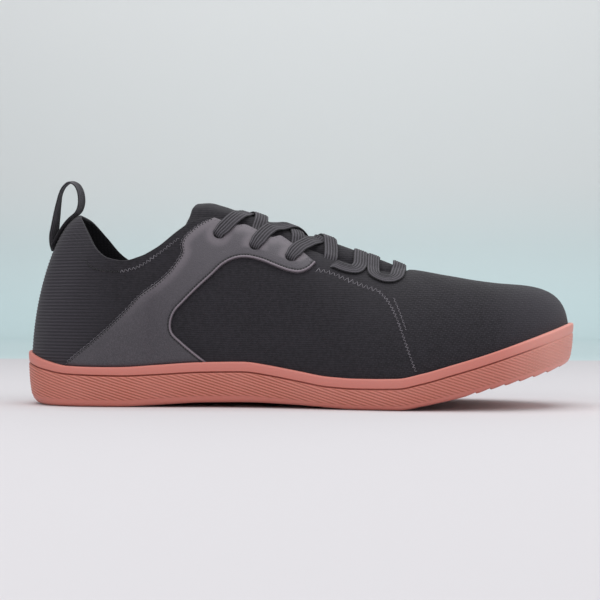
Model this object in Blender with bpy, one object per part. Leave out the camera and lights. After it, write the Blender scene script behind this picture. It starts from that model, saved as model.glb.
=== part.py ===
# Left barefoot shoe: knitted upper on a gum rubber cup sole, with leather eyestays and flat laces.
# Metres, +X towards the toe, +Y towards the outer side of the foot, +Z up. The sole stands on Z = 0.

import math

import bmesh
import bpy
import numpy as np
from mathutils import Matrix, Vector
from mathutils.bvhtree import BVHTree

# Driving sizes of the sole
SOLE_LENGTH = 0.280
BALL_WIDTH = 0.104
HEEL_WIDTH = 0.072
SIDE_HEIGHT = 0.021
TOE_SPRING = 0.0225
ARCH_LIFT = 0.003
FLOOR_THICKNESS = 0.0055
RIM_TOP_WIDTH = 0.0012
GROOVE_BELOW_RIM = 0.0050
GROOVE_DEPTH = 0.0007
GROOVE_WIDTH = 0.0009
LUG_PITCH = 0.0070
LUG_GROOVE_WIDTH = 0.0019
LUG_GROOVE_DEPTH = 0.0012

# Driving sizes of the last and the upper
HEEL_HEIGHT = 0.098
INSTEP_HEIGHT = 0.1053
VAMP_HEIGHT = 0.0695
COLLAR_WIDTH = 0.066
THROAT_WIDTH = 0.036
UPPER_INSET = 0.0022
UPPER_WALL = 0.0020
CLEARANCE = 0.0003

# Driving sizes of the smaller pieces
INSOLE_THICKNESS = 0.0030
TONGUE_THICKNESS = 0.0025
TONGUE_UNDERLAP = 0.007
TONGUE_VAMP_LAP = 0.012
LEATHER_THICKNESS = 0.0011
LEATHER_EDGE = 0.0022
EYELET_DIAMETER = 0.0050
LACE_WIDTH = 0.0072
LACE_THICKNESS = 0.0014
LACE_SAG = 0.0021
LACE_TURN_RADIUS = 0.0065
LACE_SWEEP_RADIUS = 0.020
LACE_STEP = 0.0035
PULL_WIDTH = 0.0094
PULL_THICKNESS = 0.0014
PULL_RISE = 0.0173

# How finely the loops are divided
STATIONS = 40
RISE_STEPS = 11

# Outline of the sole, from the heel to the toe tip: length share, then the side's share of a width.
# The first rows follow the heel's width and the rest the ball's.
INNER_HEEL = ((0.012, 0.19), (0.045, 0.36), (0.100, 0.468), (0.170, 0.50), (0.280, 0.488))
INNER_BALL = (
    (0.400, 0.335),
    (0.500, 0.375),
    (0.600, 0.445),
    (0.680, 0.490),
    (0.740, 0.500),
    (0.820, 0.484),
    (0.900, 0.424),
    (0.955, 0.318),
    (0.988, 0.186),
)
OUTER_HEEL = ((0.010, 0.18), (0.040, 0.35), (0.090, 0.46), (0.160, 0.508), (0.250, 0.53))
OUTER_BALL = (
    (0.350, 0.402),
    (0.450, 0.442),
    (0.560, 0.487),
    (0.660, 0.500),
    (0.760, 0.480),
    (0.850, 0.416),
    (0.920, 0.320),
    (0.965, 0.205),
    (0.992, 0.070),
)
TOE_TIP_SIDE = -0.062

# Underside: length share, share of the toe spring, share of the arch lift
UNDERSIDE = (
    (0.00, 0.00, 0.0),
    (0.19, 0.00, 0.0),
    (0.26, 0.00, 0.4),
    (0.34, 0.00, 0.9),
    (0.42, 0.00, 1.0),
    (0.50, 0.00, 0.7),
    (0.57, 0.00, 0.25),
    (0.62, 0.00, 0.0),
    (0.69, 0.00, 0.0),
    (0.73, 0.09, 0.0),
    (0.785, 0.245, 0.0),
    (0.85, 0.465, 0.0),
    (0.915, 0.685, 0.0),
    (1.00, 1.00, 0.0),
)

# Height of the side wall: length share, inner side and outer side as shares of its heel height,
# then the band over the groove as a share of its height
SIDE_WALL = (
    (0.000, 1.31, 1.31, 1.12),
    (0.045, 1.11, 1.11, 0.93),
    (0.100, 0.975, 0.975, 0.83),
    (0.160, 0.955, 0.945, 0.86),
    (0.290, 0.965, 0.935, 1.00),
    (0.411, 0.970, 0.88, 1.02),
    (0.463, 0.90, 0.83, 1.0),
    (0.514, 0.81, 0.78, 1.0),
    (0.570, 0.735, 0.74, 1.0),
    (0.640, 0.73, 0.73, 1.0),
    (0.730, 0.76, 0.76, 1.0),
    (0.783, 0.81, 0.81, 1.0),
    (0.848, 0.85, 0.84, 1.0),
    (0.915, 0.93, 0.92, 1.0),
    (1.000, 1.02, 1.02, 1.0),
)

# Section of the side wall below the groove: height share, inset as a share of the side height
WALL_SECTION = ((0.0, 0.285), (0.05, 0.19), (0.16, 0.11), (0.36, 0.052), (0.70, 0.014))

# Top of the last's sections, a row for each share of the way round from the heel to the toe tip:
# place along the sole, half opening as a share of the collar or throat, height, then the slope in
# degrees at the top, the outward lean at the foot, and the fullness low and high.
# Heights are shares of the heel height up to the collar's front and of the vamp height after it.
COLLAR_ROWS = (
    (0.00, 0.0946, 0.00, 1.000, 3, 0.10, 0.50, 0.122),
    (0.035, 0.1030, 0.34, 0.980, 22, 0.09, 0.48, 0.13),
    (0.075, 0.1240, 0.66, 0.893, 58, 0.08, 0.46, 0.18),
    (0.115, 0.1450, 0.87, 0.808, 72, 0.06, 0.44, 0.25),
    (0.155, 0.1690, 0.955, 0.759, 79, 0.05, 0.42, 0.30),
    (0.200, 0.1990, 1.00, 0.744, 81, 0.05, 0.40, 0.30),
    (0.250, 0.2280, 0.99, 0.765, 79, 0.05, 0.40, 0.30),
    (0.300, 0.2600, 0.93, 0.815, 72, 0.05, 0.40, 0.30),
    (0.345, 0.2900, 0.82, 0.890, 62, 0.06, 0.40, 0.30),
    (0.375, 0.3130, 0.71, 0.945, 54, 0.06, 0.40, 0.30),
)
THROAT_ROWS = (
    (0.410, 0.3480, 1.14, 1.372, 46, 0.06, 0.40, 0.30),
    (0.500, 0.4400, 1.00, 1.275, 38, 0.07, 0.40, 0.32),
    (0.580, 0.5350, 0.92, 1.125, 33, 0.08, 0.42, 0.34),
    (0.660, 0.6250, 0.82, 1.008, 27, 0.09, 0.46, 0.38),
    (0.700, 0.6710, 0.66, 0.975, 20, 0.09, 0.48, 0.42),
    (0.728, 0.6980, 0.36, 0.982, 12, 0.09, 0.50, 0.47),
    (0.745, 0.7080, 0.00, 0.995, 6, 0.09, 0.52, 0.50),
    (0.820, 0.7600, 0.00, 0.958, 6, 0.08, 0.56, 0.54),
    (0.880, 0.8040, 0.00, 0.922, 6, 0.07, 0.60, 0.55),
    (0.940, 0.8480, 0.00, 0.898, 6, 0.07, 0.68, 0.56),
    (1.000, 0.8860, 0.00, 0.886, 5, 0.07, 0.73, 0.57),
)

# Ridge of the last over the throat: place along the sole, share of the instep height
INSTEP_RIDGE = (
    (0.270, 0.960),
    (0.295, 0.988),
    (0.315, 0.998),
    (0.340, 1.000),
    (0.364, 0.984),
    (0.404, 0.955),
    (0.454, 0.911),
    (0.500, 0.866),
    (0.550, 0.817),
    (0.600, 0.769),
    (0.657, 0.713),
    (0.708, 0.657),
)
RIDGE_SIDE_AT_TOE = -0.035
INSTEP_START = 0.315

# Leather eyestay seen from the side: length share and height share of the heel height
LEATHER_OUTLINE = (
    (0.060, 0.060),
    (0.106, 0.247),
    (0.152, 0.346),
    (0.209, 0.487),
    (0.236, 0.560),
    (0.268, 0.634),
    (0.287, 0.690),
    (0.299, 0.742),
    (0.303, 0.790),
    (0.300, 0.835),
    (0.304, 0.862),
    (0.324, 0.918),
    (0.345, 0.952),
    (0.360, 1.060),
    (0.480, 1.060),
    (0.560, 0.900),
    (0.546, 0.733),
    (0.514, 0.676),
    (0.478, 0.704),
    (0.443, 0.743),
    (0.419, 0.758),
    (0.398, 0.753),
    (0.378, 0.724),
    (0.358, 0.671),
    (0.332, 0.603),
    (0.309, 0.536),
    (0.292, 0.483),
    (0.286, 0.430),
    (0.290, 0.382),
    (0.306, 0.333),
    (0.326, 0.285),
    (0.356, 0.220),
    (0.370, 0.060),
)

# Eyelets and the corners of the lower laces on one side: length share, half width as a share of the ball's
EYELETS = ((0.362, 0.255), (0.431, 0.250), (0.499, 0.255))
LACE_CORNERS = ((0.5740, 0.236), (0.6165, 0.236), (0.6450, 0.232), (0.6880, 0.222))

# Pull loop seen from the side, from its rear end up, over the top and down to the heel's top:
# distance ahead of the heel's top, height over it, in shares of its rise
PULL_ROUTE = (
    (-0.858, -0.775),
    (-0.838, -0.601),
    (-0.780, -0.358),
    (-0.728, 0.040),
    (-0.676, 0.376),
    (-0.618, 0.659),
    (-0.503, 0.867),
    (-0.324, 0.983),
    (-0.150, 0.925),
    (-0.029, 0.763),
    (0.023, 0.439),
    (-0.017, 0.208),
    (-0.098, 0.069),
)
PULL_ON_HEEL = (0.90, 0.87, 0.84, 0.81, 0.78, 0.755, 0.735)


def clear_scene():
    for obj in list(bpy.data.objects):
        bpy.data.objects.remove(obj)


def smooth_table(rows, at):
    """Columns of a table at one place, by monotone cubic steps between its rows."""
    keys = [row[0] for row in rows]
    if at <= keys[0]:
        return list(rows[0][1:])
    if at >= keys[-1]:
        return list(rows[-1][1:])
    i = max(k for k in range(len(keys) - 1) if keys[k] <= at)
    result = []
    for column in range(1, len(rows[0])):
        values = [row[column] for row in rows]
        steps = [(values[k + 1] - values[k]) / (keys[k + 1] - keys[k]) for k in range(len(keys) - 1)]

        def slope(k):
            if k == 0 or k == len(keys) - 1:
                return steps[0] if k == 0 else steps[-1]
            before, after = steps[k - 1], steps[k]
            return 0.0 if before * after <= 0 else 2 * before * after / (before + after)

        span = keys[i + 1] - keys[i]
        t = (at - keys[i]) / span
        low = values[i] * (1 + 2 * t) * (1 - t) ** 2 + slope(i) * span * t * (1 - t) ** 2
        high = values[i + 1] * t * t * (3 - 2 * t) + slope(i + 1) * span * t * t * (t - 1)
        result.append(low + high)
    return result


def along(share):
    """X of a share of the sole's length, from the heel."""
    return (share - 0.5) * SOLE_LENGTH


def share_of(x):
    return x / SOLE_LENGTH + 0.5


def outline_points(side):
    """One side's outline from the heel centre to the toe tip."""
    heel, ball = (INNER_HEEL, INNER_BALL) if side < 0 else (OUTER_HEEL, OUTER_BALL)
    points = [(along(0.0), 0.0)]
    points += [(along(a), side * w * HEEL_WIDTH) for a, w in heel]
    points += [(along(a), side * w * BALL_WIDTH) for a, w in ball]
    return points + [(along(1.0), TOE_TIP_SIDE * BALL_WIDTH)]


def closed_curve(points, steps):
    """Catmull-Rom curve through a closed ring of points, with knots spaced by the root of each chord."""
    count = len(points)
    knots = [math.sqrt(math.dist(points[i], points[(i + 1) % count])) for i in range(count)]
    curve = []
    for i in range(count):
        p = [np.array(points[(i + k) % count]) for k in (-1, 0, 1, 2)]
        before, here, after = knots[i - 1], knots[i], knots[(i + 1) % count]
        start = (p[1] - p[0]) / before - (p[2] - p[0]) / (before + here) + (p[2] - p[1]) / here
        end = (p[2] - p[1]) / here - (p[3] - p[1]) / (here + after) + (p[3] - p[2]) / after
        for step in range(steps):
            t = step / steps
            curve.append(
                p[1] * (1 + 2 * t) * (1 - t) ** 2
                + start * here * t * (1 - t) ** 2
                + p[2] * t * t * (3 - 2 * t)
                + end * here * t * t * (t - 1)
            )
    return np.array(curve)


class Outline:
    """The sole's outline, read by side and by share of the way from the heel to the toe tip."""

    def __init__(self):
        inner, outer = outline_points(-1), outline_points(1)
        ring = closed_curve(inner + outer[-2:0:-1], 24)
        tip = int(np.argmax(ring[:, 0]))
        self.halves = {
            -1: ring[: tip + 1],
            1: np.vstack([ring[:1], ring[tip:][::-1]]),
        }

    def at(self, side, share):
        """Point and inward direction."""
        half = self.halves[side]
        lengths = np.concatenate([[0], np.cumsum(np.linalg.norm(np.diff(half, axis=0), axis=1))])
        place = share * lengths[-1]

        def point(distance):
            return np.array([np.interp(distance, lengths, half[:, k]) for k in (0, 1)])

        reach = lengths[-1] * 0.012
        low, high = max(0.0, place - reach), min(lengths[-1], place + reach)
        run = point(high) - point(low)
        if share in (0.0, 1.0):
            run = np.array([0.0, side])
            run = run if share == 0.0 else -run
        inward = np.array([-run[1], run[0]]) * -side
        return point(place), inward / np.linalg.norm(inward)


OUTLINE = Outline()


def underside_height(x, y):
    """Height of the sole's underside. The arch lifts towards the inner side."""
    spring, arch = smooth_table(UNDERSIDE, share_of(x))
    inner_side = 0.5 - y / BALL_WIDTH
    lift = ARCH_LIFT * arch * (0.35 + 0.65 * min(1.0, max(0.0, inner_side)))
    return TOE_SPRING * spring + lift


def rim_height(side, x):
    """Height of the rim over the floor it stands on."""
    inner, outer, _ = smooth_table(SIDE_WALL, share_of(x))
    return SIDE_HEIGHT * (inner if side < 0 else outer)


def band_height(x):
    """Height of the smooth band between the groove and the rim."""
    return GROOVE_BELOW_RIM * smooth_table(SIDE_WALL, share_of(x))[2]


def foot_point(side, share, inset):
    """A point of the outline moved inwards."""
    point, inward = OUTLINE.at(side, share)
    return point + inward * inset


def section_top(side, share):
    """Top point of the last's section and the four numbers of its curve."""
    if share <= COLLAR_ROWS[-1][0]:
        rows, width, height = COLLAR_ROWS, COLLAR_WIDTH, HEEL_HEIGHT
    else:
        rows, width, height = THROAT_ROWS, THROAT_WIDTH, VAMP_HEIGHT
    last = COLLAR_ROWS[-1]
    bridge = (last[0], last[1], last[2] * COLLAR_WIDTH / THROAT_WIDTH, last[3] * HEEL_HEIGHT / VAMP_HEIGHT)
    if rows is THROAT_ROWS:
        rows = (bridge + last[4:],) + THROAT_ROWS
    place, half, top, slope, lean, low, high = smooth_table(rows, share)
    x = along(place)
    y = ridge_side(x) + side * half * width / 2
    return np.array([x, y, top * height]), math.radians(slope), lean, low, high


def ridge_side(x):
    """The ridge drifts to the inner side towards the toe."""
    forward = min(1.0, max(0.0, (share_of(x) - 0.60) / 0.30))
    return RIDGE_SIDE_AT_TOE * BALL_WIDTH * forward * forward * (3 - 2 * forward)


def bezier(p, t):
    return p[0] * (1 - t) ** 3 + 3 * p[1] * t * (1 - t) ** 2 + 3 * p[2] * t * t * (1 - t) + p[3] * t**3


def rise_curve(side, share):
    """Control points of one line up the last, from inside the cup to the collar, throat or ridge."""
    foot, inward = OUTLINE.at(side, share)
    flat = foot + inward * UPPER_INSET
    top, slope, lean, low, high = section_top(side, share)
    base = np.array([flat[0], flat[1], underside_height(*flat) + FLOOR_THICKNESS + CLEARANCE])
    rise = top[2] - base[2]
    out = np.array([-inward[0] * lean, -inward[1] * lean, 1.0])
    towards = np.array([flat[0] - top[0], flat[1] - top[1], 0.0])
    towards /= np.linalg.norm(towards)
    fall = towards * math.cos(slope) - np.array([0.0, 0.0, math.sin(slope)])
    reach = np.linalg.norm(top - base)
    return [base, base + out * rise * low, top + fall * reach * high, top]


def throat_curve(side, share):
    """Control points from the throat's edge on over the instep to the ridge."""
    lower = rise_curve(side, share)
    top = lower[3]
    x = float(top[0])
    ridge = smooth_table(INSTEP_RIDGE, share_of(x))[0] * INSTEP_HEIGHT
    crown = np.array([x, ridge_side(x), ridge])
    leave = (top - lower[2]) / np.linalg.norm(top - lower[2])
    half = np.linalg.norm(crown - top)
    level = np.array([0.0, side * half * 0.40, 0.0])
    return [top, top + leave * half * 0.30, crown + level, crown]


def height_share(curve, z):
    """Where a rising curve reaches a height."""
    low, high = 0.0, 1.0
    for _ in range(30):
        middle = (low + high) / 2
        low, high = (middle, high) if bezier(curve, middle)[2] < z else (low, middle)
    return (low + high) / 2


def new_object(name, mesh, material):
    obj = bpy.data.objects.new(name, mesh)
    bpy.context.scene.collection.objects.link(obj)
    if material is not None:
        obj.data.materials.append(material)
    return obj


def mesh_from(name, rows, closed_rows=False, closed_across=False):
    """Quads between rows of points, with coinciding points merged."""
    bm = bmesh.new()
    made = [[bm.verts.new(tuple(p)) for p in row] for row in rows]
    last_row = len(rows) if closed_rows else len(rows) - 1
    across = len(rows[0]) if closed_across else len(rows[0]) - 1
    for i in range(last_row):
        here, there = made[i], made[(i + 1) % len(rows)]
        for j in range(across):
            k = (j + 1) % len(here)
            bm.faces.new((here[j], here[k], there[k], there[j]))
    bmesh.ops.remove_doubles(bm, verts=bm.verts, dist=1e-6)
    bmesh.ops.recalc_face_normals(bm, faces=bm.faces)
    mesh = bpy.data.meshes.new(name)
    bm.to_mesh(mesh)
    bm.free()
    return mesh


def outward_mesh(name, rows):
    """An open sheet whose faces look away from the foot."""
    mesh = mesh_from(name, rows)
    centre = Vector((0.0, 0.0, 0.0))
    total = 0.0
    for face in mesh.polygons:
        direction = face.center - Vector((face.center.x * 0.8, 0.0, INSTEP_HEIGHT * 0.3))
        total += face.normal.dot(direction - centre) * face.area
    if total < 0:
        mesh.flip_normals()
    return mesh


def thick_sheet(name, mesh, start, thickness, material):
    """A closed solid from an open sheet: its outer face lies start outside it, its wall goes inwards."""
    bm = bmesh.new()
    bm.from_mesh(mesh)
    bm.normal_update()
    for vert, normal in [(v, v.normal.copy()) for v in bm.verts]:
        vert.co += normal * start
    inner = {v: v.co - v.normal * thickness for v in bm.verts}
    faces = list(bm.faces)
    twins = {v: bm.verts.new(place) for v, place in inner.items()}
    rim = [e for e in bm.edges if e.is_boundary]
    for face in faces:
        bm.faces.new([twins[v] for v in reversed(face.verts)])
    for edge in rim:
        a, b = edge.verts
        bm.faces.new((a, b, twins[b], twins[a]))
    bmesh.ops.recalc_face_normals(bm, faces=bm.faces)
    made = bpy.data.meshes.new(name)
    bm.to_mesh(made)
    bm.free()
    made.shade_smooth()
    made.set_sharp_from_angle(angle=math.radians(50))
    return new_object(name, made, material)


def principled(name, colour, roughness, metallic=0.0):
    material = bpy.data.materials.new(name)
    material.use_nodes = True
    shader = material.node_tree.nodes["Principled BSDF"]
    shader.inputs["Base Color"].default_value = (*colour, 1.0)
    shader.inputs["Roughness"].default_value = roughness
    shader.inputs["Metallic"].default_value = metallic
    return material


def boolean(obj, other, operation):
    modifier = obj.modifiers.new(operation.lower(), "BOOLEAN")
    modifier.operation = operation
    modifier.solver = "EXACT"
    modifier.object = other
    other.hide_render = True
    other.display_type = "WIRE"


def station_shares(first=0.0, last=1.0, count=STATIONS):
    return [first + (last - first) * i / count for i in range(count + 1)]


def last_sheet(name, with_instep):
    """The last's surface from the cup to the collar and throat, and on over the instep if asked."""
    rows = []
    for share in station_shares():
        row = []
        for side in (-1, 1):
            curve = rise_curve(side, share)
            line = [bezier(curve, j / RISE_STEPS) for j in range(RISE_STEPS + 1)]
            if with_instep:
                line += instep_line(side, share)
            row.append(line)
        rows.append(row)
    inner = [row[0] for row in rows]
    outer = [row[1] for row in rows]
    return outward_mesh(name, inner + outer[-2:0:-1] + [inner[0]])


def instep_line(side, share, steps=6):
    """Points from the throat's edge to the ridge. Behind the tongue and on the vamp they stay put."""
    top = rise_curve(side, share)[3]
    if share < INSTEP_START or abs(top[1] - ridge_side(top[0])) < 1e-6:
        return [top] * steps
    curve = throat_curve(side, share)
    return [bezier(curve, (j + 1) / steps) for j in range(steps)]


def sole_section(side, share):
    """Points of one side of the sole's section, from the edge of the underside round to the floor."""
    outer = foot_point(side, share, 0.0)
    rim = rim_height(side, outer[0])
    ground = foot_point(side, share, WALL_SECTION[0][1] * SIDE_HEIGHT)
    bottom = underside_height(*ground)
    groove = rim - band_height(outer[0])
    points = []
    for height, inset in WALL_SECTION:
        flat = foot_point(side, share, inset * SIDE_HEIGHT)
        points.append((*flat, bottom + groove * height))
    half = GROOVE_WIDTH / 2
    band = ((-half, 0.0), (-half * 0.3, GROOVE_DEPTH), (half * 0.3, GROOVE_DEPTH), (half, 0.0))
    for up, inset in band:
        points.append((*foot_point(side, share, inset), bottom + groove + up))
    curve = rise_curve(side, share)
    inner_top = bottom + rim - RIM_TOP_WIDTH * 0.15
    gap_top = cup_wall_point(side, share, curve, inner_top)
    outer_top = UPPER_INSET - CLEARANCE - RIM_TOP_WIDTH
    points.append((*foot_point(side, share, outer_top * 0.35), bottom + rim - RIM_TOP_WIDTH * 0.9))
    points.append((*foot_point(side, share, outer_top), bottom + rim))
    points.append(gap_top)
    floor = curve[0][2] - CLEARANCE
    for k in (0.5, 0.0):
        points.append(cup_wall_point(side, share, curve, floor + (inner_top - floor) * k))
    return points


def cup_wall_point(side, share, curve, z):
    """A point of the cup's inner wall, a clearance outside the upper."""
    _, inward = OUTLINE.at(side, share)
    at = bezier(curve, height_share(curve, max(z, curve[0][2])))
    return (at[0] - inward[0] * CLEARANCE, at[1] - inward[1] * CLEARANCE, z)


def across(a, b, steps):
    return [np.array(a) + (np.array(b) - np.array(a)) * k / steps for k in range(1, steps)]


def outsole(material):
    """Cup sole in one moulding: underside, side wall with its groove, rim, and the floor inside."""
    rows = []
    for share in station_shares():
        inner = [np.array(p) for p in sole_section(-1, share)]
        outer = [np.array(p) for p in sole_section(1, share)]
        under = across(outer[0], inner[0], 4)
        for p in under:
            p[2] = underside_height(p[0], p[1])
        floor = across(inner[-1], outer[-1], 4)
        rows.append(inner + floor + outer[::-1] + under)
    mesh = mesh_from("outsole", rows, closed_across=True)
    mesh.shade_smooth()
    mesh.set_sharp_from_angle(angle=math.radians(40))
    obj = new_object("outsole", mesh, material)
    boolean(obj, lug_cutter(), "DIFFERENCE")
    return obj


def lug_cutter():
    """Grooves across the underside that leave the lugs standing between them."""
    bm = bmesh.new()
    count = int(SOLE_LENGTH / LUG_PITCH)
    for k in range(1, count):
        x = along(0.0) + k * LUG_PITCH
        share = share_of(x)
        if 0.27 < share < 0.53 or share > 0.965:
            continue
        z = underside_height(x, 0.0)
        ahead = underside_height(x + LUG_GROOVE_WIDTH, 0.0) - z
        place = Matrix.Translation((x, 0.0, z)) @ Matrix.Rotation(-math.atan2(ahead, LUG_GROOVE_WIDTH), 4, "Y")
        size = Matrix.Diagonal((LUG_GROOVE_WIDTH, BALL_WIDTH * 1.2, LUG_GROOVE_DEPTH * 2, 1.0))
        bmesh.ops.create_cube(bm, size=1.0, matrix=place @ size)
    mesh = bpy.data.meshes.new("lug_cutter")
    bm.to_mesh(mesh)
    bm.free()
    return new_object("lug_cutter", mesh, None)


def insole(material):
    """Flat footbed on the cup's floor, inside the upper's wall."""
    rows = []
    inset = UPPER_WALL + 2 * CLEARANCE
    lift = FLOOR_THICKNESS + CLEARANCE
    for share in station_shares():
        edges = {}
        for side in (-1, 1):
            curve = rise_curve(side, share)
            _, inward = OUTLINE.at(side, share)
            line = []
            for up in (0.0, INSOLE_THICKNESS):
                at = bezier(curve, height_share(curve, curve[0][2] + up))
                flat = at[:2] + inward * inset
                line.append(np.array([flat[0], flat[1], underside_height(*flat) + lift + up]))
            edges[side] = line
        lower, upper = across(edges[1][0], edges[-1][0], 3), across(edges[-1][1], edges[1][1], 3)
        for p in lower:
            p[2] = underside_height(p[0], p[1]) + lift
        for p in upper:
            p[2] = underside_height(p[0], p[1]) + lift + INSOLE_THICKNESS
        rows.append([edges[-1][0], edges[-1][1]] + upper + [edges[1][1], edges[1][0]] + lower)
    mesh = mesh_from("insole", rows, closed_across=True)
    return new_object("insole", mesh, material)


def upper(material):
    """Knitted upper in one piece, open underneath and at the collar and throat."""
    obj = thick_sheet("upper", last_sheet("upper_sheet", False), 0.0, UPPER_WALL, material)
    for side in (-1, 1):
        boolean(obj, eyelet_cutter(side), "DIFFERENCE")
    return obj


class LastSurface:
    """The whole last, read by a ray from above or from the side."""

    def __init__(self):
        mesh = last_sheet("last", True)
        bm = bmesh.new()
        bm.from_mesh(mesh)
        bm.normal_update()
        self.tree = BVHTree.FromBMesh(bm)
        bm.free()

    def from_above(self, x, y):
        place, normal, _, _ = self.tree.ray_cast(Vector((x, y, 1.0)), Vector((0.0, 0.0, -1.0)))
        return place, normal if normal.z > 0 else -normal

    def smooth_from_above(self, x, y):
        """Point from above with a normal averaged over its surroundings."""
        reach = LACE_WIDTH * 0.42
        place, _ = self.from_above(x, y)
        ahead, behind = self.from_above(x + reach, y)[0], self.from_above(x - reach, y)[0]
        left, right = self.from_above(x, y + reach)[0], self.from_above(x, y - reach)[0]
        return place, (ahead - behind).cross(left - right).normalized()


def tongue(last, material):
    """Tongue under the throat, a clearance inside the upper's wall."""
    front = along(THROAT_ROWS[6][1]) + TONGUE_VAMP_LAP
    back = along(COLLAR_ROWS[-1][1])
    steps, half_steps = 14, 4
    rows = []
    for i in range(steps + 1):
        x = back + (front - back) * i / steps
        half = throat_half_width(x) + TONGUE_UNDERLAP
        row = []
        for j in range(-half_steps, half_steps + 1):
            y = ridge_side(x) + half * j / half_steps
            place, _ = last.smooth_from_above(x, y)
            row.append(place)
        rows.append(row)
    sheet = outward_mesh("tongue_sheet", rows)
    return thick_sheet("tongue", sheet, -UPPER_WALL - CLEARANCE * 2.5, TONGUE_THICKNESS, material)


def throat_half_width(x):
    """Half the throat's width at a place along the sole."""
    share = share_of(x)
    rows = [(r[1], r[2]) for r in THROAT_ROWS[:7]]
    return smooth_table(rows, share)[0] * THROAT_WIDTH / 2


def eyelet_place(side, number):
    share, half = EYELETS[number]
    x = along(share)
    return x, ridge_side(x) + side * half * BALL_WIDTH


def eyelet_cutter(side):
    """Pins through the leather and the knit where the laces pass."""
    bm = bmesh.new()
    for number in range(len(EYELETS)):
        x, y = eyelet_place(side, number)
        place, normal = LAST.smooth_from_above(x, y)
        turn = normal.to_track_quat("Z", "Y").to_matrix().to_4x4()
        bmesh.ops.create_cone(
            bm,
            cap_ends=True,
            segments=12,
            radius1=EYELET_DIAMETER / 2,
            radius2=EYELET_DIAMETER / 2,
            depth=UPPER_WALL * 4,
            matrix=Matrix.Translation(place) @ turn,
        )
    name = "eyelet_pins_inner" if side < 0 else "eyelet_pins_outer"
    mesh = bpy.data.meshes.new(name)
    bm.to_mesh(mesh)
    bm.free()
    return new_object(name, mesh, None)


def eyestay(side, material):
    """Leather eyestay and side strap, cut by its side outline from a shell round the last."""
    name = "eyestay_inner" if side < 0 else "eyestay_outer"
    rows = []
    for share in station_shares(0.10, 0.70, 30):
        curve = rise_curve(side, share)
        outer = foot_point(side, share, 0.0)
        ground = foot_point(side, share, WALL_SECTION[0][1] * SIDE_HEIGHT)
        rim = underside_height(*ground) + rim_height(side, outer[0])
        low = height_share(curve, rim + 2 * CLEARANCE)
        high = 1.0 - LEATHER_EDGE / np.linalg.norm(curve[3] - curve[2]) / 3
        rows.append([bezier(curve, low + (high - low) * j / RISE_STEPS) for j in range(RISE_STEPS + 1)])
    sheet = outward_mesh(name + "_sheet", rows)
    shell = thick_sheet(name, sheet, CLEARANCE + LEATHER_THICKNESS, LEATHER_THICKNESS, material)
    boolean(shell, leather_prism(side), "INTERSECT")
    boolean(shell, bpy.data.objects["eyelet_pins_inner" if side < 0 else "eyelet_pins_outer"], "DIFFERENCE")
    return shell


def leather_prism(side):
    """The eyestay's outline drawn out sideways."""
    bm = bmesh.new()
    near, far = side * LACE_WIDTH * 0.3, side * BALL_WIDTH
    ring = [(along(a), h * HEEL_HEIGHT) for a, h in LEATHER_OUTLINE]
    ends = [[bm.verts.new((x, y, z)) for x, z in ring] for y in (near, far)]
    for k in range(len(ring)):
        n = (k + 1) % len(ring)
        bm.faces.new((ends[0][k], ends[0][n], ends[1][n], ends[1][k]))
    for end in ends:
        bm.faces.new(end)
    bmesh.ops.recalc_face_normals(bm, faces=bm.faces)
    name = "leather_prism_inner" if side < 0 else "leather_prism_outer"
    mesh = bpy.data.meshes.new(name)
    bm.to_mesh(mesh)
    bm.free()
    return new_object(name, mesh, None)


def ribbon(name, centres, normals, width, thickness, closed, material):
    """Flat strip round a line of centres, with its faces square to the normals."""
    count = len(centres)
    rows = []
    for i in range(count):
        if closed:
            ahead, behind = centres[(i + 1) % count], centres[i - 1]
        else:
            ahead, behind = centres[min(i + 1, count - 1)], centres[max(i - 1, 0)]
        wide = (ahead - behind).cross(normals[i]).normalized() * width / 2
        up = normals[i] * thickness / 2
        centre = centres[i]
        rows.append([centre - wide - up, centre + wide - up, centre + wide + up, centre - wide + up])
    bm = bmesh.new()
    made = [[bm.verts.new(p) for p in row] for row in rows]
    pairs = list(zip(made, made[1:]))
    if closed:
        pairs.append((made[-1], made[0]))
    for here, there in pairs:
        for j in range(4):
            k = (j + 1) % 4
            bm.faces.new((here[j], here[k], there[k], there[j]))
    if not closed:
        bm.faces.new(made[0])
        bm.faces.new(made[-1])
    bmesh.ops.recalc_face_normals(bm, faces=bm.faces)
    mesh = bpy.data.meshes.new(name)
    bm.to_mesh(mesh)
    bm.free()
    mesh.shade_smooth()
    mesh.set_sharp_from_angle(angle=math.radians(45))
    return new_object(name, mesh, material)


def lace(name, path, raised, material, closed=False, low_side=0):
    """Lace laid along a path in plan: over leather or knit at its sides and low over the tongue."""
    centres, normals = [], []
    for (x, y), extra in zip(path, raised):
        place, normal = LAST.smooth_from_above(x, y)
        lift = lace_lift(x, y, low_side) + extra
        centres.append(place + normal * (lift + LACE_THICKNESS / 2))
        normals.append(normal)
    return ribbon(name, centres, normals, LACE_WIDTH, LACE_THICKNESS, closed, material)


def lace_lift(x, y, low_side=0):
    """How far a lace's underside lies over the last. On its low side it dips under the throat's edge."""
    half = max(CLEARANCE, min(throat_half_width(x), throat_half_width(x + LACE_WIDTH * 0.6)))
    side = abs(y - ridge_side(x))
    behind = share_of(x) < LACE_CORNERS[0][0] - 0.03
    over_side = LEATHER_THICKNESS + CLEARANCE * 3 if behind else CLEARANCE * 2.2
    over_tongue = LACE_SAG if behind else LACE_SAG * 0.7
    t = min(1.0, max(0.0, (side / half - 0.30) / 0.65))
    t = max(t, min(1.0, (0.40 - half / THROAT_WIDTH) / 0.20))
    if (y - ridge_side(x)) * low_side > 0:
        t = 0.0
    return -over_tongue + (over_side + over_tongue) * t * t * (3 - 2 * t)


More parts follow.
